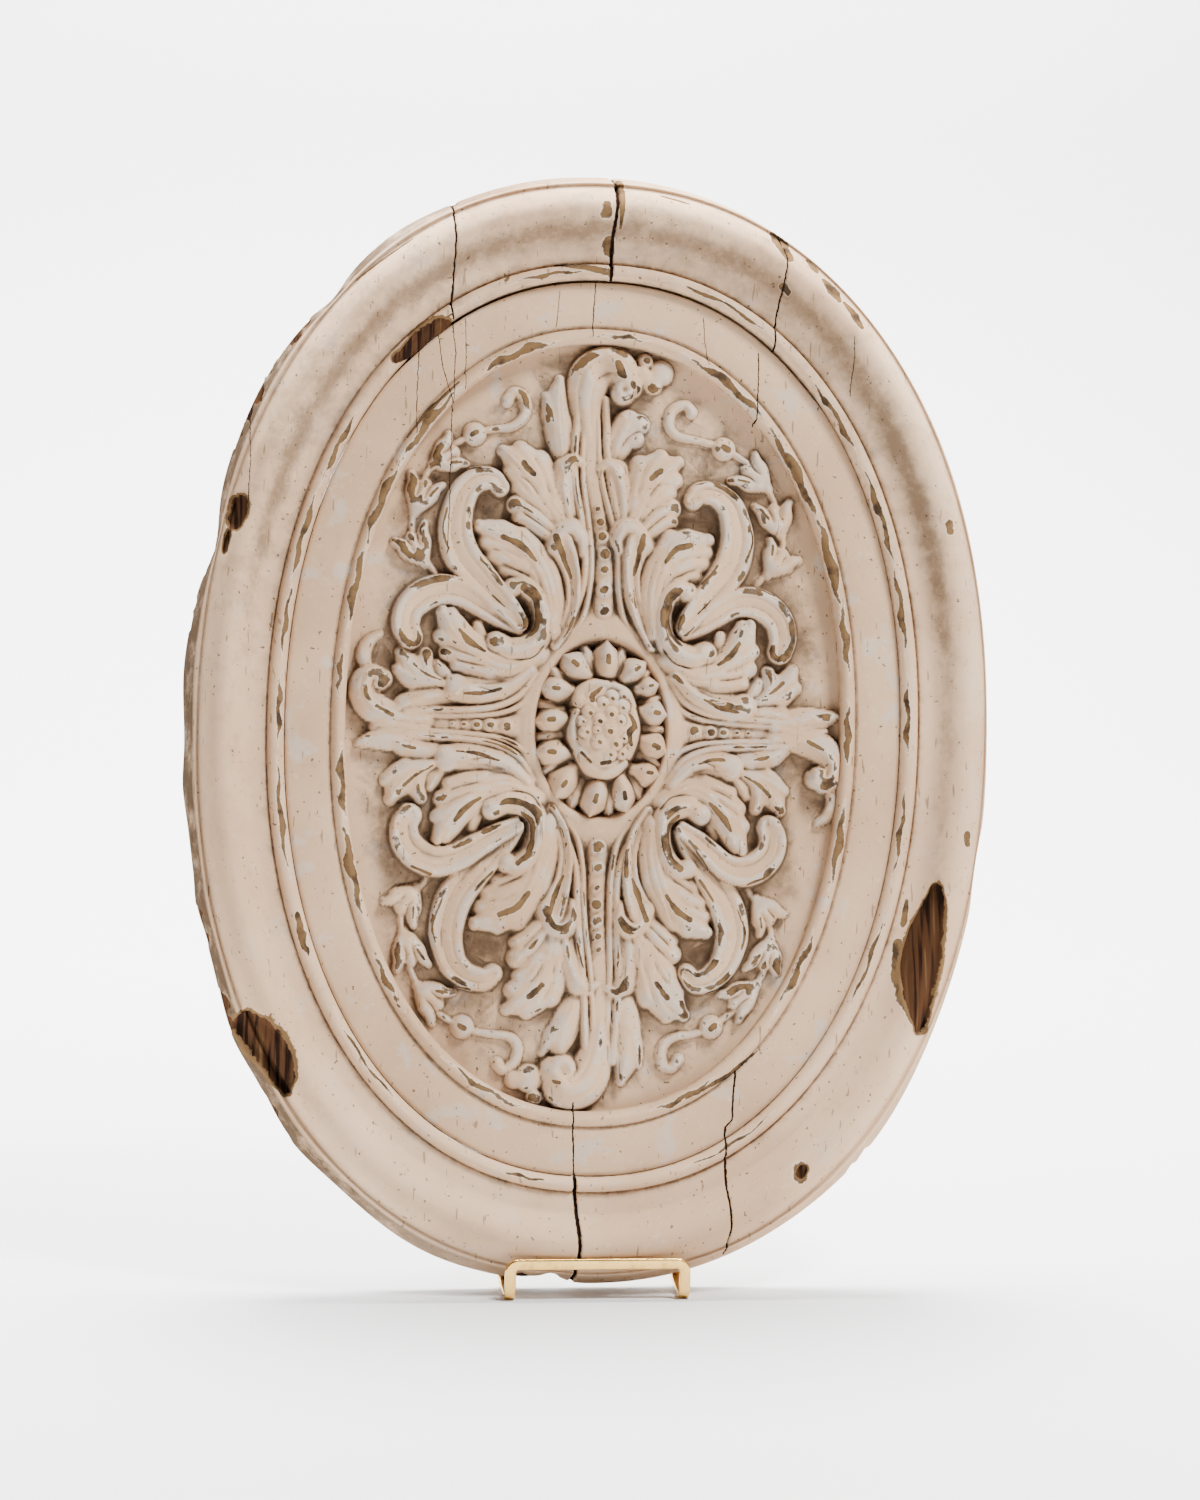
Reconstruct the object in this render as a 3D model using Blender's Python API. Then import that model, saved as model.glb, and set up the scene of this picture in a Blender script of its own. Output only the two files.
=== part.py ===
"""Carved, painted oval medallion leaning back in a small brass stand.

Lengths are in millimetres until a mesh is made. The medallion has its own
frame: u to the right and v up in its plane, w out of its flat back.
"""

import math

import bpy
import numpy as np

MM = 0.001
GAP = 0.3

# Outline of the oval rings: |u / a| ** n + |v / b| ** n = 1
ROUNDNESS = 2.16
OUTER = (245.0, 334.7)
COVE_GROOVE = (197.5, 279.5)
JOINT = (186.2, 269.5)
INNER_GROOVE = (159.3, 240.6)
GROUND_EDGE = (150.2, 231.2)

# Levels above the flat back
BACK_EDGE = 5.0
SIDE_TOP = 25.0
ROLL_TOP = 38.5
GROOVE_LEVEL = 21.8
BEAD_TOP = 27.0
BAND_LEVEL = 20.0
INNER_BEAD_TOP = 23.5
GROUND_LEVEL = 10.0
POCKET_FLOOR = 4.0

# Foliage and flower, about the middle of the flower
ORNAMENT_SHIFT = (3.8, -1.5)
POCKET = (40.7, 55.0)
FLOWER = (38.4, 52.2)
FLOWER_BOSS = (20.5, 28.7)
BOSS_SHIFT = (1.5, 0.3)
PETALS = 13
BOSS_TOP = 35.5

# How it stands: turned in its plane, leaning back, lifted by the stand
ROLL_DEGREES = 1.3
LEAN_DEGREES = 9.0
LOWEST_EDGE = 2.5

# Swells and losses of the worn back edge: where, how wide (degrees), how much
EDGE_CHANGES = (
    (62, 22, -2.4),
    (92, 18, 1.0),
    (113, 7, 1.4),
    (123, 5, -4.2),
    (136, 13, 2.2),
    (156, 9, -5.6),
    (174, 12, 2.4),
    (190, 7, 1.8),
    (206, 5, 1.8),
    (222, 9, 3.6),
    (235, 9, 3.8),
    (253, 12, 2.2),
    (267, 3, -4.2),
    (306, 18, 2.8),
    (342, 6, -3.4),
    (10, 40, -1.2),
)

# Brass strip stand
STRIP_WIDTH = 6.6
STRIP_THICK = 3.6
LIP_HALF_SPAN = 52.2
LIP_MIDDLE = 22.1
LIP_FRONT = -36.2
LIP_CORNER = 5.0
HOOK_RADIUS = 6.0
FOOT_REACH = 118.0
UPRIGHT_TOP = 190.0
TIES = (44.0, 176.0)

RING_SIDES = 80


def through(points, per_span=7):
    """Smooth curve through the points."""
    p = np.array(points, float)
    ends = np.vstack([2 * p[0] - p[1], p, 2 * p[-1] - p[-2]])
    t = np.linspace(0, 1, per_span, endpoint=False)[:, None]
    spans = []
    for a, b, c, d in zip(ends[:-3], ends[1:-2], ends[2:-1], ends[3:]):
        bend = 2 * a - 5 * b + 4 * c - d + t * (3 * (b - c) + d - a)
        spans.append(b + 0.5 * t * (c - a + t * bend))
    return np.vstack([*spans, p[-1:]])


def along(values, count):
    """Values spread evenly over count samples of a smooth curve."""
    v = np.atleast_1d(np.array(values, float))
    if len(v) == 1:
        return np.full(count, v[0])
    fine = through(np.c_[np.linspace(0, 1, len(v)), v], 12)
    return np.interp(np.linspace(0, 1, count), fine[:, 0], fine[:, 1])


def smooth(t):
    t = np.clip(t, 0, 1)
    return t * t * (3 - 2 * t)


# Where the main points of the foliage sit, in mm from the middle of the flower:
# drawn place, then upper left, upper right, lower left and lower right quarter
LANDMARKS = (
    ((63, 141), (63, 146), (55, 142), (62, 152), (55, 148)),
    ((90, 118), (91, 116), (82, 118), (91, 124), (84, 122)),
    ((78, 148), (78, 147), (68, 144), (78, 149), (69, 148)),
    ((77, 91), (77, 91), (72, 92), (76, 91), (72, 93)),
    ((118, 54), (116, 50), (108, 50), (110, 56), (104, 56)),
    ((120, 61), (120, 60), (110, 60), (118, 62), (107, 65)),
    ((102, 81), (101, 80), (94, 78), (102, 82), (92, 82)),
    ((50, 60), (50, 62), (48, 62), (49, 62), (50, 62)),
    ((34, 66), (37, 66), (34, 66), (37, 65), (38, 64)),
    ((77, 121), (77, 119), (61, 114), (72, 115), (67, 119)),
    ((24, 117), (21, 121), (12, 123), (21, 122), (20, 121)),
    ((61, 166), (63, 165), (41, 162), (50, 168), (55, 171)),
    ((54, 136), (55, 134), (40, 136), (47, 140), (47, 135)),
    ((25, 161), (25, 161), (5, 160), (8, 157), (17, 157)),
    ((26, 203), (31, 209), (14, 196), (20, 197), (19, 210)),
    ((97, 70), (98, 68), (90, 66), (98, 70), (88, 72)),
    ((90, 16), (87, 21), (86, 14), (92, 19), (78, 20)),
    ((124, 44), (121, 43), (118, 38), (128, 46), (111, 46)),
    ((126, 9), (125, 7), (117, 9), (126, 9), (113, 8)),
    ((111, 105), (113, 103), (105, 104), (113, 104), (101, 106)),
    ((115, 136), (113, 138), (106, 130), (113, 134), (106, 133)),
    ((102, 160), (99, 161), (93, 156), (100, 164), (93, 158)),
    ((80, 177), (81, 176), (73, 173), (80, 181), (72, 178)),
    ((49, 193), (50, 192), (40, 190), (48, 196), (43, 193)),
    ((61, 199), (61, 197), (51, 195), (56, 203), (52, 198)),
    ((0, 60), (0, 60), (0, 60), (0, 60), (0, 60)),
    ((45, 0), (45, 0), (45, 0), (45, 0), (45, 0)),
    ((20, 66), (21, 66), (21, 70), (20, 66), (20, 66)),
    ((36, 46), (36, 46), (36, 46), (36, 46), (36, 46)),
    ((60, 22), (60, 22), (60, 20), (60, 22), (58, 20)),
)


def bending(quarter):
    """Map from the drawn quarter to one real quarter, through all the landmarks."""
    drawn = np.array([row[0] for row in LANDMARKS], float)
    real = np.array([row[quarter] for row in LANDMARKS], float)

    def kernel(p):
        r2 = ((p[:, None] - drawn[None]) ** 2).sum(2)
        return r2 * np.log(r2 + 1e-6)

    count = len(drawn)
    lin = np.c_[np.ones(count), drawn]
    system = np.block([[kernel(drawn) + 400 * np.eye(count), lin], [lin.T, np.zeros((3, 3))]])
    weight = np.linalg.solve(system, np.vstack([real, np.zeros((3, 2))]))
    return lambda p: kernel(p) @ weight[:count] + np.c_[np.ones(len(p)), p] @ weight[count:]


class Relief:
    """Heights over the ground at the points (u, v), raised stroke by stroke."""

    def __init__(self, u, v):
        self.u = u
        self.v = v
        self.h = np.zeros_like(u)
        self.flip = (1, 1)
        self.bend = None

    def place(self, points):
        p = np.array(points, float)
        if self.bend is not None:
            p = self.bend(p)
        return p * np.array(self.flip)

    def measure(self, path, reach):
        """Nearby points: which, how far from the path, on which side, how far along."""
        lo = path.min(0) - reach
        hi = path.max(0) + reach
        inside = (self.u > lo[0]) & (self.u < hi[0]) & (self.v > lo[1]) & (self.v < hi[1])
        which = np.nonzero(inside)[0]
        q = np.c_[self.u[which], self.v[which]]
        best = np.full(len(which), 1e9)
        side = np.zeros(len(which))
        place = np.zeros(len(which))
        spans = len(path) - 1
        for i in range(spans):
            start = path[i]
            step = path[i + 1] - start
            r = q - start
            t = np.clip((r @ step) / max(step @ step, 1e-9), 0, 1)
            gap = r - t[:, None] * step
            far = np.hypot(gap[:, 0], gap[:, 1])
            near = far < best
            best[near] = far[near]
            cross = step[0] * r[:, 1] - step[1] * r[:, 0]
            side[near] = np.where(cross[near] >= 0, 1.0, -1.0)
            place[near] = (i + t[near]) / spans
        return which, best, side * self.flip[0] * self.flip[1], place

    def stroke(self, points, half, top, kind="round", edge=0.35, moat=1.2, crease=0.0, ridge_at=0.0):
        """One lobe or band of foliage, with half widths and crest heights along it."""
        path = through(self.place(points))
        count = len(path)
        halves = along(half, count)
        crests = along(top, count)
        which, far, side, place = self.measure(path, halves.max() + 4)
        if not len(which):
            return
        grid = np.linspace(0, 1, count)
        w = np.interp(place, grid, halves)
        z = np.interp(place, grid, crests)
        x = side * far / w
        ax = np.clip(np.abs(x), 0, 1)
        if kind == "round":
            shape = np.sqrt(1 - ax**2)
        elif kind == "flat":
            shape = 1 - ax**4
        elif kind == "rim":
            shape = 0.55 + 0.45 * smooth((x + 1) / 1.56)
            shape = shape * np.sqrt(1 - (np.clip(ax - 0.6, 0, 1) / 0.4) ** 2.4)
        else:
            outward = np.where(x > ridge_at, (x - ridge_at) / (1 - ridge_at),
                               (ridge_at - x) / (1 + ridge_at))
            shape = 1 - np.clip(outward, 0, 1) ** 1.7
        if crease:
            cut = np.exp(-(((x - ridge_at) / 0.11) ** 2))
            shape = shape - crease * cut * smooth((0.85 - place) / 0.3)
        height = z * (edge + (1 - edge) * shape)
        out = np.clip(far - w, 0, None)
        height = np.where(far > w, z * edge - 3.5 * out, height)
        if moat:
            ring = np.exp(-((out / 1.6) ** 2)) * (far > w)
            self.h[which] -= moat * ring * np.clip(self.h[which] / 4 + 0.25, 0, 1)
        self.h[which] = np.maximum(self.h[which], height)

    def ball(self, at, radius, top, edge=0.2, moat=0.8):
        self.stroke([at, (at[0] + 0.01, at[1] + 0.01)], radius, top, "round", edge, moat)

    def pit(self, points, half, depth, floor=-1.0):
        """A gouged hollow."""
        path = through(self.place(points))
        halves = along(half, len(path))
        which, far, _, place = self.measure(path, halves.max() + 1.2)
        w = np.interp(place, np.linspace(0, 1, len(path)), halves)
        cut = depth * smooth(1.0 - (far - w) / 1.2)
        here = self.h[which]
        self.h[which] = np.where(cut > 0, np.maximum(here - cut, np.minimum(here, floor)), here)

    def husk(self, at, degrees):
        """Bellflower: a cup with two petals opening along the angle."""
        a = math.radians(degrees)
        ahead = np.array([math.cos(a), math.sin(a)])
        across = np.array([-math.sin(a), math.cos(a)])

        def spot(x, y):
            return tuple(np.array(at) + x * ahead + y * across)

        self.stroke([spot(-8, 0), spot(0, 0), spot(6, 0)], [3.5, 7, 5.5], [4, 7, 6], edge=0.3)
        for y in (-1, 1):
            petal = [spot(-3, 2 * y), spot(4, 5.5 * y), spot(9, 8.5 * y)]
            self.stroke(petal, [3.5, 3.8, 2.4], [6, 7, 6.5], edge=0.3, moat=0.6)


def husk_chain(r):
    """Chain of bellflowers with a ball and a curled tendril, along the oval."""
    r.stroke([(98, 90), (104, 96), (114, 112), (117, 124), (113, 146), (102, 163), (88, 173), (80, 177)],
             1.8, 3, edge=0.2)
    r.husk((112, 106), 57)
    r.husk((114, 135), 104)
    r.husk((101, 160), 145)
    r.stroke([(80, 178), (68, 181), (56, 183), (49, 190), (50, 200), (57, 204), (61, 199)],
             [2, 2, 2.5, 3, 3, 2.6, 3.4], [3.5, 3.5, 3.8, 4, 4, 4, 4.5], edge=0.25)
    r.ball((80, 177), 7, 6.5)


def quarter_foliage(r, upper, tall_leaf):
    """One quarter of the foliage, from the outermost leaves in to the collar."""
    husk_chain(r)
    r.stroke([(60, 17), (80, 19), (98, 21), (112, 27), (120, 36), (124, 44)],
             [6, 8, 11, 11, 8, 4], [9, 9, 8.5, 8, 8.5, 7], "leaf", 0.4, ridge_at=0.2)
    r.stroke([(98, 15), (110, 13), (118, 11), (126, 9)], [5, 6.5, 6.5, 4.5], [8, 8, 8.5, 7], edge=0.4)
    r.stroke([(96, 24), (101, 30), (104, 36)], [3.5, 4, 3], [7, 7, 6], edge=0.4)
    if tall_leaf:
        r.stroke([(22, 162), (24, 176), (26, 190), (26, 203)], [5, 7.5, 7.5, 5.5], [7, 7.5, 7.5, 7],
                 "leaf", 0.4)
    else:
        r.stroke([(20, 160), (22, 176), (26, 190), (27, 202)], [5, 6.5, 6, 4], [7, 7.5, 7, 6],
                 "leaf", 0.4)
    r.stroke([(20, 115), (22, 135), (24, 150), (25, 160)], [6, 7, 7, 6], [8, 8, 8.5, 8], edge=0.4)
    r.stroke([(20, 95), (24, 112), (31, 130), (40, 146), (50, 158), (61, 166)],
             [8, 10, 11, 11, 9, 4], [9, 9, 9, 8.5, 9, 7.5], "leaf", 0.38, crease=0.12, ridge_at=-0.1)
    r.stroke([(24, 108), (33, 119), (44, 129), (54, 136)], [7, 8, 8.5, 6], [10, 10, 9.5, 8],
             "leaf", 0.4, crease=0.1)
    r.stroke([(72, 44), (76, 54), (77, 61)], [3.5, 4.5, 3], [6, 6.5, 5], edge=0.4)
    r.stroke([(76, 37), (86, 40), (95, 46)], [6, 6.5, 5], [10, 9.5, 8], edge=0.4)
    r.stroke([(40, 42), (56, 36), (71, 39), (83, 47), (92, 58), (97, 70)],
             [8, 10, 11, 10, 7.5, 4], [13, 12, 11, 10, 9.5, 8], "leaf", 0.4, ridge_at=0.1, crease=0.12)
    r.stroke([(55, 24), (68, 22), (80, 19), (90, 16)], [4, 5.5, 7, 7], [11, 12, 12.5, 12])
    r.stroke([(42, 84), (50, 89), (60, 92)], [5, 6, 5], [10, 10, 8], edge=0.4)
    r.stroke([(44, 92), (54, 99), (67, 103)], [6, 6.5, 5], [10, 10, 8], edge=0.4)
    r.stroke([(32, 60), (33, 76), (38, 91), (47, 103), (58, 112), (68, 118), (77, 121)],
             [7, 9, 11, 12, 10.5, 8, 4], [13, 12.5, 12, 11, 10.5, 10, 8], "leaf", 0.4,
             ridge_at=0.15, crease=0.12)
    r.stroke([(36, 46), (28, 60), (23, 78), (24, 96), (24, 110)], [3.5, 4.5, 5.5, 6.5, 7.5],
             [12, 12, 12, 12, 13], "rim", 0.4)
    r.stroke([(32, 112), (27, 117), (21, 118), (16, 112)], [5, 6, 6, 4], [12, 13, 13, 12])
    tall = [(50, 60), (57, 69), (66, 79), (77, 91), (86, 104), (90, 118), (90, 131), (86, 142),
            (78, 148), (69, 147), (63, 141)]
    tall_half = [6, 7.5, 9, 10.5, 11, 10.5, 9.5, 8, 7, 6.5, 5.5]
    short = [(50, 58), (60, 63), (72, 71), (84, 79), (96, 82), (108, 79), (117, 71), (120, 61), (118, 54)]
    short_half = [6, 7, 7.5, 8.5, 9.5, 9.5, 9, 8.5, 7.5]
    if upper:
        r.stroke(short, short_half, [11, 9.5, 8.5, 8.5, 9, 9, 9, 9, 9.5], "rim", 0.4)
        r.stroke(tall, tall_half, [13, 13, 12.5, 12, 11, 10, 9.5, 9.5, 10, 9.5, 9], "rim", 0.4)
    else:
        r.stroke(tall, tall_half, [11, 9.5, 8.5, 9, 9.5, 9.5, 9.5, 9.5, 10, 9.5, 9], "rim", 0.4)
        r.stroke(short, short_half, [14, 13, 12.5, 12, 11, 10.5, 10, 10, 10], "rim", 0.4)
    r.pit([(43, 73), (40, 66), (42, 58), (47, 53)], [1.2, 2.4, 2.4, 1.2], 12)
    r.stroke([(54, 86), (46, 85), (37.5, 78), (34, 66), (37, 54), (45, 46), (56, 44), (66, 50)],
             [6, 6.5, 6, 5.2, 6, 7, 7.5, 7], [13, 15, 16, 16.5, 16.5, 16, 15, 13], edge=0.42, moat=1.5)


def upright_stem(r, lean):
    """Stem with pearls that bends by lean and rolls over at its end."""
    def axis(v):
        return lean * smooth((v - 100) / 65)

    for side in (-1, 1):
        out = [(27, 54), (18, 66), (12, 84), (10.5, 104), (10, 126), (9.5, 146), (9, 166), (8, 188)]
        ridge = [(side * u + axis(v), v) for u, v in out]
        r.stroke(ridge, [3, 3.2, 3, 3, 3.2, 3.6, 4.2, 4.6], [9, 9, 9, 8.5, 8.5, 8, 7.5, 7])
    middle = [(axis(v), v) for v in (54, 70, 100, 130, 160, 190)]
    r.stroke(middle, [14, 8, 6, 6, 7, 8], [7.5, 6, 5.5, 5.5, 6, 6.5], "flat", 0.5, moat=0)
    for v, radius in ((72, 5.2), (84, 4.8), (96, 3.8), (106, 4), (116, 3.8), (125, 3), (133, 2.2)):
        r.ball((axis(v), v), radius, 8.4, 0.45, 0.5)
    roll = np.array([(-10, 150), (-11, 175), (-13, 196), (-13, 210), (-5, 219), (7, 220), (13, 212), (9, 204)])
    roll = roll + np.array([lean + 9, 0]) * smooth((roll[:, 1:] - 150) / 40) + np.array([0.5 * lean, 0])
    r.stroke(roll, [4, 6, 8.5, 10, 10, 9.5, 8, 5.5], [7, 8, 10, 12, 14, 15, 15, 14])
    r.ball((roll[-1][0] - 1, roll[-1][1] + 3), 4.8, 14.5, 0.6, 1.5)
    reach = roll[-1][0]
    r.stroke([(reach + 14, 219), (reach + 23, 222), (reach + 30, 217), (reach + 25, 211)], [4, 6, 6, 4.5],
             [6, 6.5, 6.5, 6])


def level_stem(r, side):
    """Stem with pearls towards the side, with a curled end."""
    for up in (-1, 1):
        ridge = [(40, 30), (50, 17), (64, 10), (82, 8), (102, 7.5), (118, 6)]
        r.stroke([(u, up * v) for u, v in ridge], [3, 3, 3, 2.8, 2.8, 3], [9, 9, 8.5, 8, 7.5, 7])
    r.stroke([(42, 0), (55, 0), (80, 0), (110, 0), (128, -1)], [13, 9, 5.5, 5.5, 6],
             [7.5, 6.5, 6, 6, 6.5], "flat", 0.5, moat=0)
    for u, radius in ((57, 4.8), (67, 4.4), (75, 3.4), (83, 2), (90, 1.6)):
        r.ball((u, 0), radius, 8.4, 0.45, 0.5)
    r.stroke([(136, 50), (142, 42), (141, 34)], [4, 4.5, 4], [5, 6, 6], edge=0.3)
    r.stroke([(108, -6), (122, -8), (135, -9), (146, -12)], [5, 8, 8, 5], [7, 8, 7, 6])
    r.stroke([(108, 2), (124, 2), (137, 7), (143, 17), (140, 27), (132, 26)], [6, 8, 8.5, 8.5, 7, 5],
             [8, 9, 10, 11, 12, 12])


def carve(u, v):
    """Height of the carving over the ground at each point."""
    r = Relief(u, v)
    for quarter, (side, end) in enumerate(((-1, 1), (1, 1), (-1, -1), (1, -1)), start=1):
        r.flip = (side, end)
        r.bend = bending(quarter)
        quarter_foliage(r, end > 0, (side, end) != (1, 1))
    r.bend = None
    r.flip = (1, 1)
    upright_stem(r, -10)
    r.flip = (-1, -1)
    upright_stem(r, -4)
    for side in (-1, 1):
        r.flip = (side, -side)
        level_stem(r, side)
    rim = np.hypot(u / POCKET[0], v / POCKET[1])
    cushion = 8.0 * smooth((1.55 - rim) / 0.5)
    bank = np.clip(1 - (np.abs(rim - 1.04) / 0.07) ** 2, 0, 1)
    return np.clip(np.maximum(r.h, cushion), -1.5, None) + 2.0 * np.sqrt(bank)


def oval(size, inset=0.0, sides=RING_SIDES):
    """Points of one oval ring, evenly spaced, with their directions in degrees."""
    a = size[0] - inset
    b = size[1] - inset
    t = np.linspace(0, 2 * math.pi, 2000, endpoint=False)
    c = np.cos(t)
    s = np.sin(t)
    power = 2 / ROUNDNESS
    ring = np.c_[a * np.sign(c) * np.abs(c) ** power, b * np.sign(s) * np.abs(s) ** power]
    step = np.hypot(*(np.roll(ring, -1, 0) - ring).T)
    walked = np.r_[0, np.cumsum(step)]
    closed = np.vstack([ring, ring[:1]])
    want = np.linspace(0, walked[-1], sides, endpoint=False)
    return np.c_[np.interp(want, walked, closed[:, 0]), np.interp(want, walked, closed[:, 1])]


def edge_change(points):
    """How far the worn back edge stands out from, or falls short of, the true oval."""
    angle = np.degrees(np.arctan2(points[:, 1], points[:, 0])) % 360
    change = np.zeros(len(points))
    for middle, width, amount in EDGE_CHANGES:
        away = (angle - middle + 180) % 360 - 180
        change += amount * np.exp(-((away / (0.6 * width)) ** 2))
    return change


def in_front(points):
    """Medallion points (u, v, w) in mm as Blender's x, y, z in metres, with its front at -Y."""
    u, v, w = np.asarray(points, float).T
    return np.c_[u, -w, v] * MM


def medallion_pose(collection):
    """Empty that holds the medallion upright, turned a little and leaning back on the stand."""
    lean = math.radians(LEAN_DEGREES)
    pose = bpy.data.objects.new("medallion_pose", None)
    pose.empty_display_size = 0.1
    pose.rotation_mode = "YXZ"
    pose.rotation_euler = (-lean, math.radians(ROLL_DEGREES), 0.0)
    rise = LOWEST_EDGE + OUTER[1] * math.cos(lean)
    pose.location = (0.0, OUTER[1] * math.sin(lean) * MM, rise * MM)
    collection.objects.link(pose)
    bpy.context.view_layer.update()
    return pose


def clear_scene():
    for item in list(bpy.data.objects):
        bpy.data.objects.remove(item, do_unlink=True)


def new_collection(name):
    made = bpy.data.collections.new(name)
    bpy.context.scene.collection.children.link(made)
    return made


def material(name, colour, metallic, roughness):
    made = bpy.data.materials.new(name)
    made.use_nodes = True
    shader = made.node_tree.nodes["Principled BSDF"]
    shader.inputs["Base Color"].default_value = (*colour, 1.0)
    shader.inputs["Metallic"].default_value = metallic
    shader.inputs["Roughness"].default_value = roughness
    return made


def add_object(name, points, faces, paint, collection, pose=None):
    mesh = bpy.data.meshes.new(name)
    mesh.from_pydata([tuple(p) for p in points], [], [tuple(int(i) for i in f) for f in faces])
    mesh.materials.append(paint)
    mesh.validate()
    mesh.shade_smooth()
    mesh.set_sharp_from_angle(angle=math.radians(40))
    made = bpy.data.objects.new(name, mesh)
    made.parent = pose
    collection.objects.link(made)
    return made


def band(first, second, sides):
    """Quads between two rings of points that start at the given numbers."""
    quads = []
    for i in range(sides):
        j = (i + 1) % sides
        quads.append((first + i, first + j, second + j, second + i))
    return quads


def thinned(points, faces, keep, paint, guides):
    """The surface with only about keep triangles left, as points and triangles."""
    rough = add_object("rough", points, faces, paint, guides)
    change = rough.modifiers.new("thin", "DECIMATE")
    change.ratio = keep / (2 * len(faces))
    change.use_collapse_triangulate = True
    bpy.context.view_layer.update()
    graph = bpy.context.evaluated_depsgraph_get()
    mesh = rough.evaluated_get(graph).to_mesh()
    left = np.array([tuple(p.co) for p in mesh.vertices])
    triangles = [tuple(f.vertices) for f in mesh.polygons]
    rough.evaluated_get(graph).to_mesh_clear()
    bpy.data.objects.remove(rough, do_unlink=True)
    return left, triangles


def open_loops(triangles):
    """Ordered loops of the border, each running the way its triangles do."""
    ahead = {}
    edges = set()
    for a, b, c in triangles:
        edges.update(((a, b), (b, c), (c, a)))
    for a, b in edges:
        if (b, a) not in edges:
            ahead[a] = b
    loops = []
    while ahead:
        start, here = ahead.popitem()
        loop = [start]
        while here != start:
            loop.append(here)
            here = ahead.pop(here)
        loops.append(loop)
    return loops


def walls(points, faces, loop, rings):
    """Adds a skirt down through the rings (functions of the loop's points); gives its last loop."""
    points = [tuple(p) for p in points]
    before = list(loop)
    base = np.array([points[i] for i in loop])
    for ring in rings:
        start = len(points)
        points.extend(tuple(p) for p in ring(base))
        count = len(loop)
        for i in range(count):
            j = (i + 1) % count
            faces.append((before[j], before[i], start + i, start + j))
        before = list(range(start, start + count))
    return points, before


def frame_moulding(paint, collection, pose):
    """Oval ring: sloping side, roll, cove, groove and bead, round an open middle."""
    cove_width = OUTER[0] - COVE_GROOVE[0]
    cove_height = OUTER[1] - COVE_GROOVE[1]
    # share of the way from the outline to the cove groove, and level
    outer_profile = (
        (0.0, BACK_EDGE),
        (0.2, SIDE_TOP),
        (0.3, 34.0),
        (0.44, ROLL_TOP),
        (0.58, 36.0),
        (0.72, 28.5),
        (0.86, 24.0),
        (0.97, 23.0),
        (1.0, GROOVE_LEVEL),
    )
    rings = [(oval((JOINT[0] + 0.45, JOINT[1] + 0.45)), 0.0)]
    base = oval(OUTER)
    worn = 1 + edge_change(base) / np.hypot(*base.T)
    rings.append((base * worn[:, None] * 0.996, 0.0))
    rings.append((base * worn[:, None], 1.5))
    for share, level in outer_profile:
        ring = oval((OUTER[0] - share * cove_width, OUTER[1] - share * cove_height))
        if share == 0.0:
            ring = ring * worn[:, None]
        rings.append((ring, level))
    bead = ((0.1, 24.5), (0.4, BEAD_TOP), (0.75, 26.0), (1.0, BAND_LEVEL + 1))
    for share, level in bead:
        ring = oval((
            COVE_GROOVE[0] + share * (JOINT[0] - COVE_GROOVE[0]) + 0.45 * share,
            COVE_GROOVE[1] + share * (JOINT[1] - COVE_GROOVE[1]) + 0.45 * share,
        ))
        rings.append((ring, level))
    points = np.vstack([np.c_[ring, np.full(len(ring), level)] for ring, level in rings])
    faces = []
    for i in range(len(rings)):
        following = (i + 1) % len(rings)
        faces.extend(band(i * RING_SIDES, following * RING_SIDES, RING_SIDES))
    return add_object("frame_moulding", in_front(points), faces, paint, collection, pose)


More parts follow.
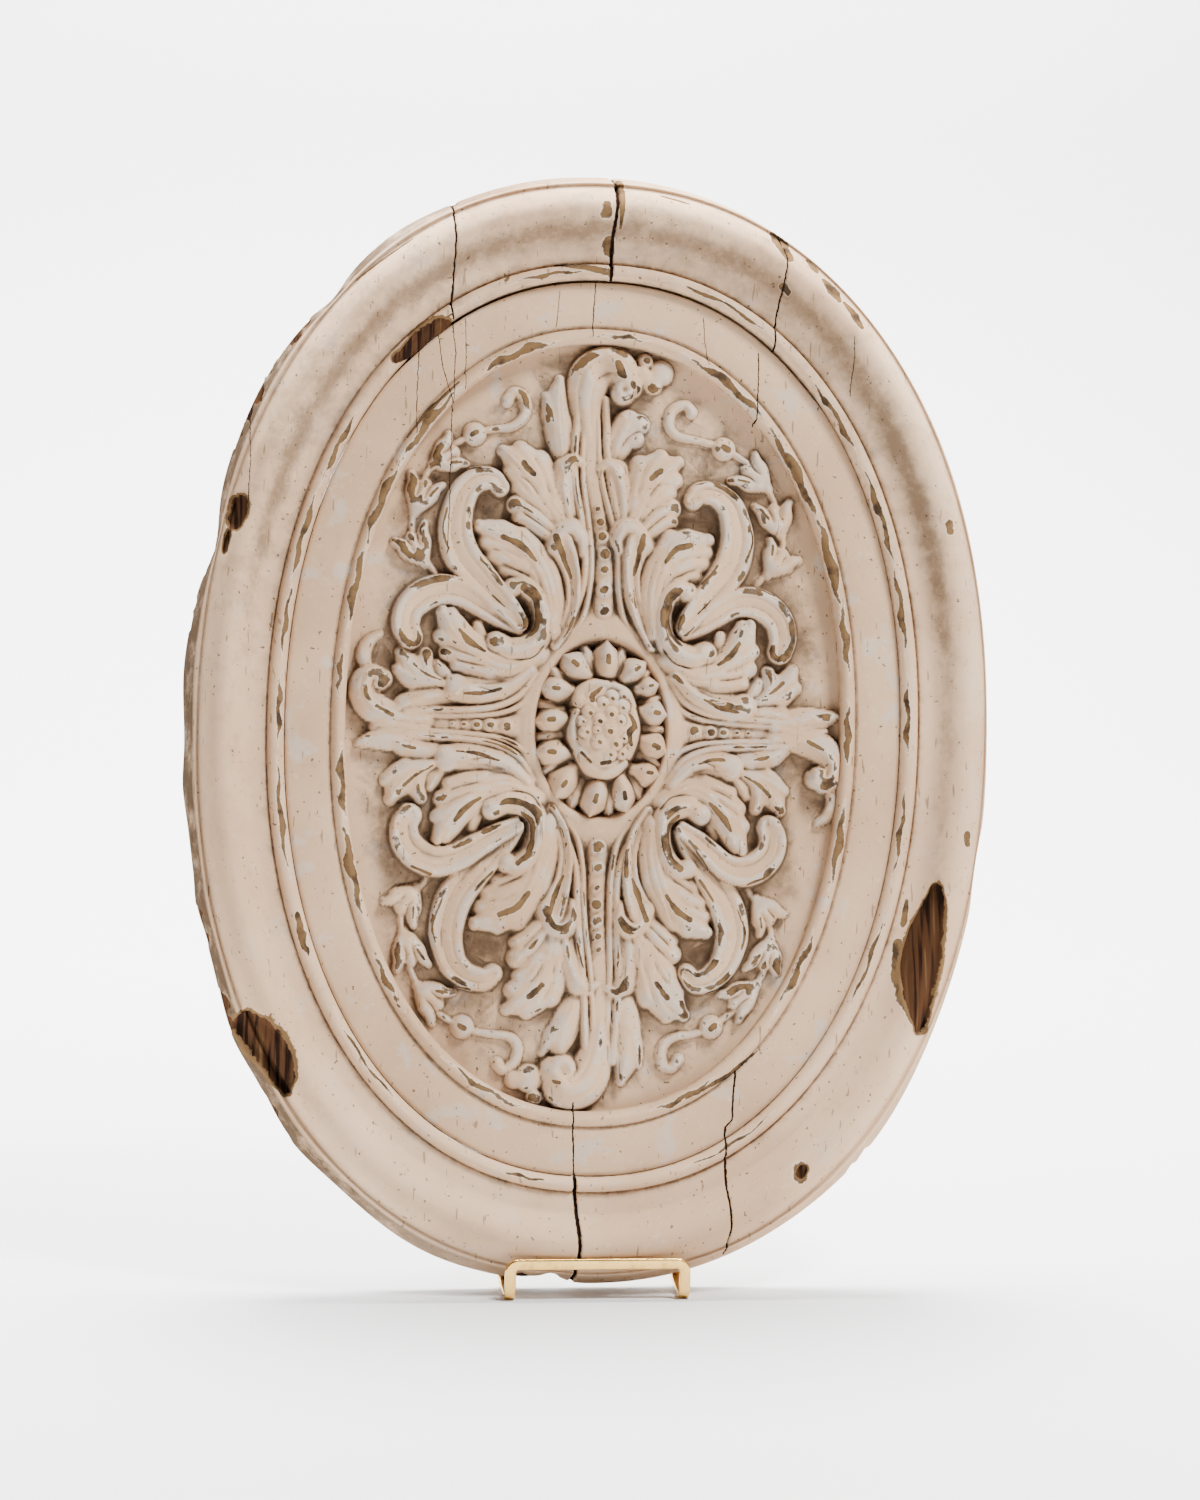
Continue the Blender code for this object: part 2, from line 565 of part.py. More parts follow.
def carved_panel(paint, collection, guides, pose):
    """Panel with a flat band, a bead, a sunk ground with foliage, and a blind pocket."""
    around = 440
    across = 100
    edge = oval(GROUND_EDGE, sides=around) - np.array(ORNAMENT_SHIFT)
    turn = np.arctan2(edge[:, 1] / POCKET[1], edge[:, 0] / POCKET[0])
    hole = np.c_[POCKET[0] * np.cos(turn), POCKET[1] * np.sin(turn)]
    share = np.linspace(0, 1, across)[:, None, None]
    grid = hole[None] * (1 - share) + edge[None] * share
    flat = grid.reshape(-1, 2)
    height = GROUND_LEVEL + carve(flat[:, 0], flat[:, 1])
    height[-around:] = GROUND_LEVEL
    surface = np.c_[flat + np.array(ORNAMENT_SHIFT), height]
    faces = []
    for i in range(across - 1):
        faces.extend(band(i * around, (i + 1) * around, around))
    surface, triangles = thinned(surface, [f[::-1] for f in faces], 4000, paint, guides)
    loops = sorted(open_loops(triangles), key=lambda loop: np.ptp(surface[loop][:, 0]))

    def outer(size, level, inset=0.0):
        """Ring with the given size at the directions of the ground's edge."""
        def ring(base):
            scale = np.array([(size[0] - inset) / GROUND_EDGE[0], (size[1] - inset) / GROUND_EDGE[1]])
            return np.c_[on_edge(base) * scale, np.full(len(base), level)]
        return ring

    def on_edge(base):
        q = base[:, :2] / np.array(GROUND_EDGE)
        size = (np.abs(q) ** ROUNDNESS).sum(1) ** (1 / ROUNDNESS)
        return base[:, :2] / size[:, None]

    def pocket(level):
        def ring(base):
            q = (base[:, :2] - np.array(ORNAMENT_SHIFT)) / np.array(POCKET)
            q = q / np.hypot(*q.T)[:, None]
            return np.c_[q * np.array(POCKET) + np.array(ORNAMENT_SHIFT), np.full(len(base), level)]
        return ring

    surface[loops[1], :2] = on_edge(surface[loops[1]])
    surface[loops[0], :2] = pocket(0.0)(surface[loops[0]])[:, :2]
    bead_middle = (0.5 * (INNER_GROOVE[0] + GROUND_EDGE[0]), 0.5 * (INNER_GROOVE[1] + GROUND_EDGE[1]))
    points, last = walls(surface, triangles, loops[1], [
        outer(GROUND_EDGE, INNER_BEAD_TOP - 4, -0.8),
        outer(bead_middle, INNER_BEAD_TOP),
        outer(INNER_GROOVE, BAND_LEVEL - 1.5),
        outer(INNER_GROOVE, BAND_LEVEL, -1.5),
        outer(JOINT, BAND_LEVEL, GAP),
        outer(JOINT, 0.0, GAP),
    ])
    triangles.append(tuple(last[::-1]))
    points, last = walls(points, triangles, loops[0], [pocket(POCKET_FLOOR)])
    triangles.append(tuple(last[::-1]))
    return add_object("carved_panel", in_front(points), triangles, paint, collection, pose)


def flower_height(u, v):
    """Height of the flower over its own foot, and how far out its petals reach."""
    turn = np.arctan2(v / FLOWER[1], u / FLOWER[0])
    out = np.hypot(u / FLOWER[0], v / FLOWER[1])
    wave = np.abs(np.cos(0.5 * PETALS * (turn - 1.2)))
    petal = 8 + 15 * np.sqrt(np.clip(1 - ((out - 0.76) / 0.3) ** 2, 0, 1)) * (0.55 + 0.45 * wave**0.7)
    inner = np.abs(np.sin(0.5 * PETALS * (turn - 1.2)))
    second = 14 + 8 * np.clip(1 - ((out - 0.6) / 0.16) ** 2, 0, 1) * inner
    top = np.maximum(petal, np.where(out < 0.78, second, 0))
    b = np.hypot((u - BOSS_SHIFT[0]) / FLOWER_BOSS[0], (v - BOSS_SHIFT[1]) / FLOWER_BOSS[1])
    boss = BOSS_TOP - POCKET_FLOOR - 9 * b**2.4
    return np.where(b < 1, np.maximum(top, boss), np.where(b < 1.12, np.minimum(top, 17), top))


def rosette(paint, collection, guides, pose):
    """Flower with a ring of rounded petals and an oval boss."""
    around = 260
    across = 46
    turn = np.linspace(0, 2 * math.pi, around, endpoint=False)
    reach = 0.9 + 0.1 * np.abs(np.cos(0.5 * PETALS * (turn - 1.2))) ** 0.6
    share = np.linspace(0.04, 1, across)[:, None]
    u = (share * reach * FLOWER[0] * np.cos(turn)).ravel()
    v = (share * reach * FLOWER[1] * np.sin(turn)).ravel()
    w = POCKET_FLOOR + GAP + flower_height(u, v)
    shift = np.array(ORNAMENT_SHIFT)
    surface = np.c_[u + shift[0], v + shift[1], w]
    middle = (shift[0], shift[1], POCKET_FLOOR + GAP + flower_height(0.0, 0.0))
    surface = np.vstack([surface, middle])
    faces = []
    for i in range(across - 1):
        faces.extend(band(i * around, (i + 1) * around, around))
    for i in range(around):
        faces.append(((i + 1) % around, i, len(surface) - 1))
    surface, triangles = thinned(surface, [f[::-1] for f in faces], 1150, paint, guides)
    loop = open_loops(triangles)[0]

    def foot(base):
        middle_point = np.array([*shift])
        narrow = (base[:, :2] - middle_point) * 0.93 + middle_point
        return np.c_[narrow, np.full(len(base), POCKET_FLOOR + GAP)]

    points, last = walls(surface, triangles, loop, [foot])
    triangles.append(tuple(last[::-1]))
    return add_object("rosette", in_front(points), triangles, paint, collection, pose)


def strip(path, across, width=STRIP_WIDTH, thick=STRIP_THICK):
    """Flat bar swept along the path; across is the direction of its width, one or one per point."""
    path = np.array(path, float)
    sides = np.broadcast_to(np.array(across, float), path.shape)
    steps = np.diff(path, axis=0)
    steps = steps / np.linalg.norm(steps, axis=1)[:, None]
    ahead = np.vstack([steps[:1], steps[:-1] + steps[1:], steps[-1:]])
    points = []
    for here, side, along_path in zip(path, sides, ahead):
        normal = np.cross(along_path / np.linalg.norm(along_path), side)
        normal = normal / np.linalg.norm(normal)
        for a, b in ((-1, -1), (1, -1), (1, 1), (-1, 1)):
            points.append(here + side * a * width / 2 + normal * b * thick / 2)
    faces = []
    last = 4 * (len(path) - 1)
    for first in range(0, last, 4):
        faces.extend(band(first, first + 4, 4))
    faces.append((3, 2, 1, 0))
    faces.append((last, last + 1, last + 2, last + 3))
    return np.array(points) * MM, faces


def arc(middle, radius, start, stop, steps):
    """Points of an arc, angles in degrees."""
    turn = np.radians(np.linspace(start, stop, steps))
    return [(middle[0] + radius * math.cos(t), middle[1] + radius * math.sin(t)) for t in turn]


def edge_height(x):
    """Lowest height of the medallion's back edge over the strip's width at x."""
    ring = oval(OUTER, sides=2000)
    u, v = (ring + ring * (edge_change(ring) / np.hypot(*ring.T))[:, None]).T
    roll = math.radians(ROLL_DEGREES)
    across = u * math.cos(roll) + v * math.sin(roll)
    up = v * math.cos(roll) - u * math.sin(roll)
    over = (np.abs(across - x) < STRIP_WIDTH / 2 + 1) & (up < 0)
    return LOWEST_EDGE + (OUTER[1] + up[over].min()) * math.cos(math.radians(LEAN_DEGREES))


def side_strip(side):
    """Middle line of one side, as (y, z): rear upright, arm under the edge, hook and front."""
    lean = math.tan(math.radians(LEAN_DEGREES))
    clear = (GAP + STRIP_THICK / 2) / math.cos(math.radians(LEAN_DEGREES))
    arm = edge_height(side * LIP_HALF_SPAN) - GAP - STRIP_THICK / 2
    low = HOOK_RADIUS + STRIP_THICK / 2

    def behind(z):
        return (z - LOWEST_EDGE) * lean + clear

    line = [(LIP_FRONT + STRIP_THICK / 2, LIP_MIDDLE - LIP_CORNER)]
    line += arc((line[0][0] + HOOK_RADIUS, low), HOOK_RADIUS, 180, 300, 6)
    line += [(-9.5, arm - 0.8), (-6.5, arm), (behind(arm) - 3.5, arm), (behind(arm + 1.2) - 0.8, arm + 1.2)]
    line += [(behind(arm + 5), arm + 5), (behind(UPRIGHT_TOP), UPRIGHT_TOP)]
    return line


def display_stand(paint, collection, guides):
    """One welded brass strip stand: front lip, two hooks, uprights, ties and a rear prop."""
    lines = [side_strip(side) for side in (-1, 1)]
    front = lines[0][0][0]
    reach = LIP_HALF_SPAN - LIP_CORNER
    path = []
    sides = []
    for y, z in lines[0][::-1]:
        path.append((-LIP_HALF_SPAN, y, z))
        sides.append((1, 0, 0))
    for middle, start, stop in ((-reach, 180, 90), (reach, 90, 0)):
        for x, z in arc((middle, LIP_MIDDLE - LIP_CORNER), LIP_CORNER, start, stop, 5):
            path.append((x, front, z))
            turn = math.atan2(z - LIP_MIDDLE + LIP_CORNER, x - middle)
            sides.append((-math.cos(turn), 0, -math.sin(turn)))
    for y, z in lines[1]:
        path.append((LIP_HALF_SPAN, y, z))
        sides.append((-1, 0, 0))
    keep = [i for i in range(len(path)) if i == 0 or math.dist(path[i], path[i - 1]) > 0.05]
    parts = [strip([path[i] for i in keep], [sides[i] for i in keep])]
    top = lines[0][-1][0]
    half = STRIP_THICK / 2
    for side in (-1, 1):
        prop = [
            (top - 0.3, UPRIGHT_TOP - 5),
            (top + 6, UPRIGHT_TOP - 8),
            (FOOT_REACH - 4, half + 6),
            (FOOT_REACH, half),
            (FOOT_REACH + 10, half),
        ]
        x = side * (LIP_HALF_SPAN - 0.2)
        parts.append(strip([(x, y, z) for y, z in prop], (1, 0, 0), STRIP_WIDTH - 0.6))
    span = LIP_HALF_SPAN - 0.1
    clear = lines[0][-2][0] - (lines[0][-2][1]) * math.tan(math.radians(LEAN_DEGREES))
    for height in TIES:
        y = clear + height * math.tan(math.radians(LEAN_DEGREES))
        parts.append(strip([(-span, y, height), (span, y, height)], (0, 0, 1), thick=STRIP_THICK - 0.4))
    foot = FOOT_REACH + 5
    parts.append(strip([(-span, foot, half - 0.1), (span, foot, half - 0.1)], (0, 1, 0),
                       thick=STRIP_THICK - 0.2))
    whole = add_object("display_stand", *parts[0], paint, collection)
    for points, faces in parts[1:]:
        piece = add_object("tool", points, faces, paint, guides)
        join = whole.modifiers.new("join", "BOOLEAN")
        join.operation = "UNION"
        join.solver = "EXACT"
        join.object = piece
        bpy.context.view_layer.update()
        graph = bpy.context.evaluated_depsgraph_get()
        merged = bpy.data.meshes.new_from_object(whole.evaluated_get(graph))
        whole.modifiers.clear()
        old = whole.data
        whole.data = merged
        bpy.data.meshes.remove(old)
        bpy.data.objects.remove(piece, do_unlink=True)
    return whole


def centre_on_floor(collection, movers):
    """Moves everything so that the origin is under the middle of the whole, on the floor."""
    bpy.context.view_layer.update()
    corners = []
    for item in collection.objects:
        if item.type == "MESH":
            corners += [item.matrix_world @ v.co for v in item.data.vertices]
    corners = np.array(corners)
    middle = (corners.min(0) + corners.max(0)) / 2
    for mover in movers:
        mover.location.x -= middle[0]
        mover.location.y -= middle[1]
        mover.location.z -= corners[:, 2].min()
    bpy.context.view_layer.update()


def main():
    clear_scene()
    wood_paint = material("aged_cream_paint", (0.68, 0.58, 0.48), 0.0, 0.62)
    panel_paint = material("aged_cream_panel_paint", (0.70, 0.61, 0.51), 0.0, 0.62)
    flower_paint = material("aged_cream_flower_paint", (0.68, 0.59, 0.49), 0.0, 0.6)
    brass = material("polished_brass", (0.85, 0.55, 0.16), 1.0, 0.2)
    medallion = new_collection("carved_medallion")
    guides = new_collection("guides")
    pose = medallion_pose(medallion)
    frame_moulding(wood_paint, medallion, pose)
    carved_panel(panel_paint, medallion, guides, pose)
    rosette(flower_paint, medallion, guides, pose)
    stand = display_stand(brass, medallion, guides)
    centre_on_floor(medallion, (pose, stand))


main()
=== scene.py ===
"""Looks of the carved, painted oval medallion in its brass strip stand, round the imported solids.

Lengths are in millimetres until a mesh is made. The medallion has its own frame: u to the
right and v up in its plane, w out of its flat back.
"""

import math

import bpy
import numpy as np
from mathutils import Euler, Matrix, Vector


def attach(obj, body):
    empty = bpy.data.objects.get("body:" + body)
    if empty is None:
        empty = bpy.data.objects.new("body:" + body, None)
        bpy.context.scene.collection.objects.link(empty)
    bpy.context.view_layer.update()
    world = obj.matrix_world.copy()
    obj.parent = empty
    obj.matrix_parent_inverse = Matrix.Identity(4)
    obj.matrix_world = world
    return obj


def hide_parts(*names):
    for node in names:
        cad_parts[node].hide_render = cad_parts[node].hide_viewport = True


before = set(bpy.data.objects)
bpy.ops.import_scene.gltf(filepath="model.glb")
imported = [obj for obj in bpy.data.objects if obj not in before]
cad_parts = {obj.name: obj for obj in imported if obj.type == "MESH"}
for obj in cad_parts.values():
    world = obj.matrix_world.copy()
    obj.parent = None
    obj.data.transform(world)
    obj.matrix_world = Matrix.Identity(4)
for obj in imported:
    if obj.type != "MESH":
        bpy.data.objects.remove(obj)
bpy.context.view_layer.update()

MM = 0.001

# Outline of the oval rings, |u / a| ** n + |v / b| ** n = 1, and their half axes a and b
ROUNDNESS = 2.16
OUTER = np.array((245.0, 334.7))
COVE_GROOVE = np.array((197.5, 279.5))
JOINT = np.array((186.2, 269.5))
INNER_GROOVE = np.array((159.3, 240.6))
GROUND_EDGE = np.array((150.2, 231.2))

# Levels above the flat back
BAND_LEVEL = 20.0
GROUND_LEVEL = 10.0
POCKET_FLOOR = 4.0

# Joint of ring and panel: how far the ring stays outside the joint line, how far the panel
# reaches past it, and how far it has drawn back over the top, from and to (degrees)
RING_GAP = 0.45
PANEL_REACH = 0.4
JOINT_OPENED = 1.3
JOINT_OPENED_OVER = (55, 122)

# Gaps under the flower and between stand and medallion
FLOWER_GAP = 0.3
STAND_GAP = 0.3

# Foliage and flower, about the middle of the flower
ORNAMENT_SHIFT = np.array((3.8, -1.5))
POCKET = (40.7, 55.0)
FLOWER = (39.9, 54.2)
FLOWER_GROWN = 1.035

# Place of the medallion on the stand
ROLL_DEGREES = 1.3
LEAN_DEGREES = 9.0
LOWEST_EDGE = 2.5
MEDALLION_MIDDLE = (1.234, 6.459, 333.079)
STAND_SHIFT = (1.234, -45.9, 0.0)

# Swells and losses of the worn back edge: where, how wide (degrees), how much
EDGE_CHANGES = (
    (62, 22, -2.4), (92, 18, 1.0), (113, 7, 1.4), (123, 5, -4.2), (136, 13, 2.2), (156, 9, -5.6),
    (174, 12, 2.4), (190, 7, 1.8), (206, 5, 1.8), (222, 9, 3.6), (235, 9, 3.8), (253, 12, 2.2),
    (267, 3, -4.2), (306, 18, 2.8), (342, 6, -3.4), (10, 40, -1.2),
)

# Torn places of the back edge: depth, then from and to (degrees) and highest level of each
TEAR_DEPTH = 2.2
EDGE_TEARS = (
    (126, 131.5, 19), (130.5, 135.5, 9), (134.5, 141, 17), (140, 144.5, 10), (152.5, 161.5, 9),
    (163, 170, 7), (205, 212, 10), (216, 222, 16), (228, 236, 9), (262, 268.5, 15),
    (301, 306, 9), (340, 345, 10),
)

# Sections of the rings: share of the way in, or out for the panel, and level; the panel's
# also give how much glaze and painted shade lies there
MOULDING_PROFILE = (
    (0.0, 5.0), (0.03, 10.5), (0.085, 20.0), (0.11, 24.0), (0.125, 24.6), (0.14, 23.6), (0.155, 24.0),
    (0.185, 26.4), (0.215, 29.0), (0.25, 31.8), (0.3, 34.6), (0.37, 37.4), (0.44, 38.4), (0.5, 38.0),
    (0.58, 36.0), (0.66, 32.0), (0.72, 28.7), (0.79, 25.7), (0.86, 24.2), (0.93, 23.6), (0.975, 23.2),
    (0.992, 22.4), (1.0, 21.4),
)
OUTER_BEAD = (
    (0.03, 21.4), (0.08, 23.6), (0.2, 26.0), (0.42, 27.1), (0.66, 26.6), (0.85, 24.8), (0.97, 21.6),
)
INNER_BEAD = (
    (0.0, 10.0, 0.6), (0.02, 15.5, 0.5), (0.05, 19.0, 0.2), (0.18, 21.6, 0), (0.4, 23.2, 0),
    (0.62, 23.0, 0), (0.82, 21.4, 0), (0.95, 19.0, 0.5), (1.0, 18.2, 0.7),
)
FLAT_BAND = (
    (0.04, 19.5, 0.6), (0.1, BAND_LEVEL, 0.1), (0.35, BAND_LEVEL + 0.5, 0), (0.65, BAND_LEVEL + 0.4, 0),
    (0.9, BAND_LEVEL, 0), (0.985, BAND_LEVEL - 0.1, 0.3), (1.0, BAND_LEVEL - 0.8, 1.0),
)
# Back edge of the moulding: share of the outline and level
BACK_EDGE = ((0.985, 0.0), (0.997, 0.2))
# Wall of the pocket: level, share of the rim and how dark its painted shade is
POCKET_WALL = (
    (GROUND_LEVEL + 1.5, 0.955, 0.0),
    (POCKET_FLOOR + 2.0, 0.92, 0.1),
    (POCKET_FLOOR, 0.91, 0.55),
)

# Cracks: line from top to bottom in mm, half width, depth
FRAME_CRACKS = (
    (((-94.9, 322), (-93.5, 290), (-93.5, 260), (-94.4, 249), (-92.4, 242)), 0.55, 1.2),
    (((1.5, 340), (4.0, 328.5), (3.6, 312), (2.3, 298.3), (2.3, 266)), 1.0, 2.4),
    (
        ((103.7, 314), (104.5, 300), (108.3, 285.6), (105.8, 264.5), (103.5, 246), (103.5, 231)),
        0.45,
        1.0,
    ),
    (((-6.3, -262), (-6.5, -274.3), (-5.0, -295), (-3.8, -313.4), (-5.2, -336)), 1.0, 3.0),
    (((84.5, -246), (84.6, -272.3), (87.1, -299.3), (86.1, -316)), 0.55, 1.6),
    (((-212.5, 190), (-211.8, 150), (-213, 120)), 0.2, 0.2),
    (((150, 240), (151, 222), (150.5, 205)), 0.22, 0.2),
)
PANEL_CRACKS = (
    (((-6.2, 269.8), (-7.2, 252), (-7.8, 234.8)), 0.3, 0.8),
    (((94.4, 229.9), (94.6, 206), (93.6, 185.9)), 0.35, 0.8),
    (((-8.1, -226), (-7.6, -245), (-6.5, -270)), 0.45, 1.0),
    (((89.9, -205), (88.9, -222), (88.6, -234.8), (84.5, -239.1), (84.6, -250)), 0.6, 1.4),
    (((-103, 243), (-98, 214), (-90, 187.8)), 0.25, 0.5),
    (((-93, 243), (-90.5, 222), (-91, 150), (-92, 100)), 0.25, 0.6),
    (((-85, 243), (-84, 222), (-84, 200)), 0.2, 0.5),
    (((-112, 232), (-113, 200), (-112.5, 172)), 0.22, 0.5),
    (((-28, 262), (-29, 250), (-30, 240)), 0.2, 0.3),
    (((60, 250), (61, 235), (64, 221)), 0.2, 0.3),
)
# Long worn ribbons on the two beads: from and to (degrees), half width and place as shares
# of the bead's half width
OUTER_RIBBONS = (
    (128, 141, 0.5, 0.2), (140, 158, 0.55, 0.1), (156, 171, 0.45, 0.2), (172, 186, 0.5, 0.3),
    (187, 209, 0.5, 0.2), (214, 221, 0.7, 0.0), (228, 246, 0.3, 0.3), (258, 266, 0.35, 0.1),
    (282, 297, 0.3, 0.2), (312, 330, 0.35, 0.3), (333, 352, 0.4, 0.35), (354, 372, 0.45, 0.4),
    (13, 31, 0.5, 0.35), (29, 47, 0.55, 0.3), (46, 61, 0.45, 0.35), (66, 84, 0.35, 0.2),
    (92, 103, 0.4, 0.1), (109, 117, 0.3, 0.2),
)
INNER_RIBBONS = (
    (96, 111, 0.5, -0.1), (113, 129, 0.5, 0.0), (127, 144, 0.55, 0.1), (142, 162, 0.5, 0.0),
    (164, 176, 0.35, 0.2), (184, 204, 0.5, -0.1), (201, 222, 0.6, 0.0), (226, 238, 0.35, 0.2),
    (246, 262, 0.3, 0.0), (279, 291, 0.35, 0.1), (303, 320, 0.4, 0.0), (326, 346, 0.5, 0.1),
    (351, 368, 0.45, 0.0), (12, 29, 0.5, 0.1), (26, 46, 0.65, 0.0), (43, 63, 0.6, -0.1),
    (61, 79, 0.5, 0.0), (83, 92, 0.3, 0.1),
)
# Paint and gesso lost down to another coat: line in mm, half widths
FRAME_WEAR = (
    (((-3.5, 313), (-3.0, 308)), (4.0, 4.8)),
    (((-0.5, 292), (0.5, 287)), (4.6, 4.4)),
    (((6.5, 331), (6.4, 316), (6.0, 300)), (2.2, 2.6, 1.2)),
    (((-32, 277.0), (-16, 276.5), (-6, 275), (1.0, 274)), (0.9, 2.0, 3.4, 3.6)),
    (((101, 302), (106, 294), (110, 286)), (3.4, 5.8, 3.0)),
    (((106, 269), (109.5, 265.5)), (2.4, 2.0)),
    (((122, 287), (127, 281)), (2.0, 3.0)),
    (((132, 274), (137, 268), (141, 262)), (2.6, 5.0, 2.4)),
    (((145, 260), (150, 254), (155, 246)), (2.2, 4.4, 2.0)),
    (((211, 128), (211.5, 124)), (3.4, 3.6)),
    (((226, -60), (226, -65)), (2.8, 3.2)),
    (((192, -100), (190, -114)), (1.6, 3.0)),
    (((187.5, -126), (186.5, -142), (189, -158), (195, -172)), (3.4, 4.6, 5.0, 3.6)),
    (((127, -262), (128, -267)), (5.2, 5.4)),
    (((-176, -118), (-174, -128), (-172, -138)), (1.8, 3.2, 1.6)),
    (((-152, 262), (-135, 276), (-118, 289)), (0.5, 0.8, 0.5)),
    (((30, 322), (48, 317)), (1.0, 1.2)),
    (((-60, 268), (-62, 266)), (1.6, 1.6)),
    (((-196, 60), (-196.5, 52)), (0.8, 0.8)),
)
PANEL_WEAR = (
    (((60, -222), (85, -208), (104, -192)), (1.0, 2.0, 1.2)),
    (((-118, 170), (-104, 188), (-88, 204)), (0.8, 1.8, 1.0)),
)
# Oval dent in the flat band, drawn only as a ring of painted shade: middle and half axes
DENT = (-170.3, 77.4, 4.2, 1.9)
# Wood laid bare where the moulding is broken: line in mm, half widths, depth
FRAME_BREAKS = (
    (((-217.5, 125), (-218, 119), (-220, 113)), (4.6, 4.8, 4.0), 4.0),
    (((-224, 106), (-225.5, 96)), (1.8, 1.4), 3.0),
    (
        ((-204, -184), (-196, -191), (-187, -202), (-182, -215), (-180, -222)),
        (7.0, 10.0, 9.0, 6.5, 3.0),
        5.0,
    ),
    (
        ((208, -92), (206.5, -106), (202.5, -122), (199.5, -142), (199, -160), (201, -176)),
        (2.5, 6.0, 8.5, 10.0, 8.5, 4.5),
        5.5,
    ),
    (((-127, 216), (-119, 222), (-111, 230), (-102, 237), (-97, 238.5)), (2.4, 3.4, 5.2, 5.0, 3.2), 2.4),
    (((128, -265), (129, -263)), (3.0, 3.0), 3.0),
    (((-94.6, 317), (-93, 315)), (2.0, 2.0), 1.5),
    (((84.5, -239.5), (85.5, -238.5)), (2.6, 2.6), 2.0),
)

# Brass strip stand
STRIP_WIDTH = 6.6
STRIP_THICK = 3.6
STRIP_CORNER = 1.1
LIP_HALF_SPAN = 52.2
LIP_MIDDLE = 22.1
LIP_FRONT = -36.2
LIP_CORNER = 5.0
HOOK_RADIUS = 6.0
FOOT_REACH = 118.0
UPRIGHT_TOP = 190.0
TIES = (44.0, 176.0)

# Camera: turned and raised about the middle of the medallion, rolled (degrees), how far
# off (metres), and where in the 1200 x 1500 image that middle falls
CAMERA_TURN = -7.4
CAMERA_RISE = 5.5
CAMERA_ROLL = 1.28
CAMERA_FAR = 2.4
PIXELS_PER_METRE = 1649.0
IMAGE_SIZE = (1200, 1500)
MIDDLE_AT = (591.2, 727.5)

# Lights: place, size (metres), power (watts) and the place that each one faces
LIGHTS = {
    "key": ((1.15, -1.05, 2.75), 0.6, 172.0, (0, 0, 0.35)),
    "fill": ((1.9, -2.2, 0.8), 1.4, 10.0, (0, 0, 0.35)),
    "backdrop": ((0.0, 0.9, 3.0), 1.6, 700.0, (0, 2.2, 0.2)),
}
SURROUND = (1.0, 0.99, 0.98, 1.0)
SURROUND_STRENGTH = 0.12

# Colours: two tones of each cream coat, what lies on it (glaze, grime and soil, which also serve as
# painted shade) and what is under it
MOULDING_TONES = ((0.618, 0.43, 0.28), (0.515, 0.337, 0.208))
CARVING_TONES = ((0.565, 0.383, 0.242), (0.46, 0.296, 0.177))
BACK_WOOD = (0.15, 0.092, 0.054)
BACK_GRAIN = (0.07, 0.043, 0.026)
PALE = (0.74, 0.60, 0.46)
COOL = (0.45, 0.43, 0.40)
GLAZE_AND_SHADE = (0.035, 0.022, 0.014)
GRIME_AND_SHADE = (0.125, 0.078, 0.045)
SOIL_AND_SHADE = (0.060, 0.038, 0.024)
TAN = (0.155, 0.090, 0.042)
BROWN = (0.052, 0.033, 0.020)
WOOD = (0.062, 0.029, 0.014)
DARK = (0.015, 0.008, 0.006)
BRASS = (0.88, 0.56, 0.17)
DULL_BRASS = (0.62, 0.37, 0.11)
FLOOR = (0.72, 0.72, 0.72)


# Curves and small sums


def through(points, per_span=6):
    """Smooth curve through the points."""
    p = np.array(points, float)
    ends = np.vstack([2 * p[0] - p[1], p, 2 * p[-1] - p[-2]])
    t = np.linspace(0, 1, per_span, endpoint=False)[:, None]
    spans = []
    for a, b, c, d in zip(ends[:-3], ends[1:-2], ends[2:-1], ends[3:]):
        bend = 2 * a - 5 * b + 4 * c - d + t * (3 * (b - c) + d - a)
        spans.append(b + 0.5 * t * (c - a + t * bend))
    return np.vstack([*spans, p[-1:]])


def along(values, count):
    """Values spread evenly over count samples of a smooth curve."""
    v = np.atleast_1d(np.array(values, float))
    if len(v) == 1:
        return np.full(count, v[0])
    fine = through(np.c_[np.linspace(0, 1, len(v)), v], 12)
    return np.interp(np.linspace(0, 1, count), fine[:, 0], fine[:, 1])


def smooth(t):
    """0 below 0, 1 above 1 and a gentle rise between."""
    t = np.clip(t, 0, 1)
    return t * t * (3 - 2 * t)


def bell(x, middle, width):
    """1 at the middle, fading on both sides over the width."""
    return np.exp(-(((x - middle) / width) ** 2))


def between(first, second, share):
    """What lies the given share of the way from the first to the second."""
    return first * (1 - share) + second * share


def bearing(points):
    """Direction of each point from the middle, in degrees from 0 to 360."""
    return np.degrees(np.arctan2(points[:, 1], points[:, 0])) % 360


def blend_max(a, b, k):
    """The larger of two heights, with the valley between them filled over k."""
    h = np.clip(k - np.abs(a - b), 0, None) / k
    return np.maximum(a, b) + h * h * k / 4


def blurred(field, steps):
    """Field softened by a bell of the given half width in grid steps."""
    reach = max(1, int(3 * steps))
    weights = np.exp(-0.5 * (np.arange(-reach, reach + 1) / steps) ** 2)
    weights /= weights.sum()
    padded = np.pad(field, reach, mode="edge")
    rows = sum(w * padded[:, i : i + field.shape[1]] for i, w in enumerate(weights))
    return sum(w * rows[i : i + field.shape[0]] for i, w in enumerate(weights))


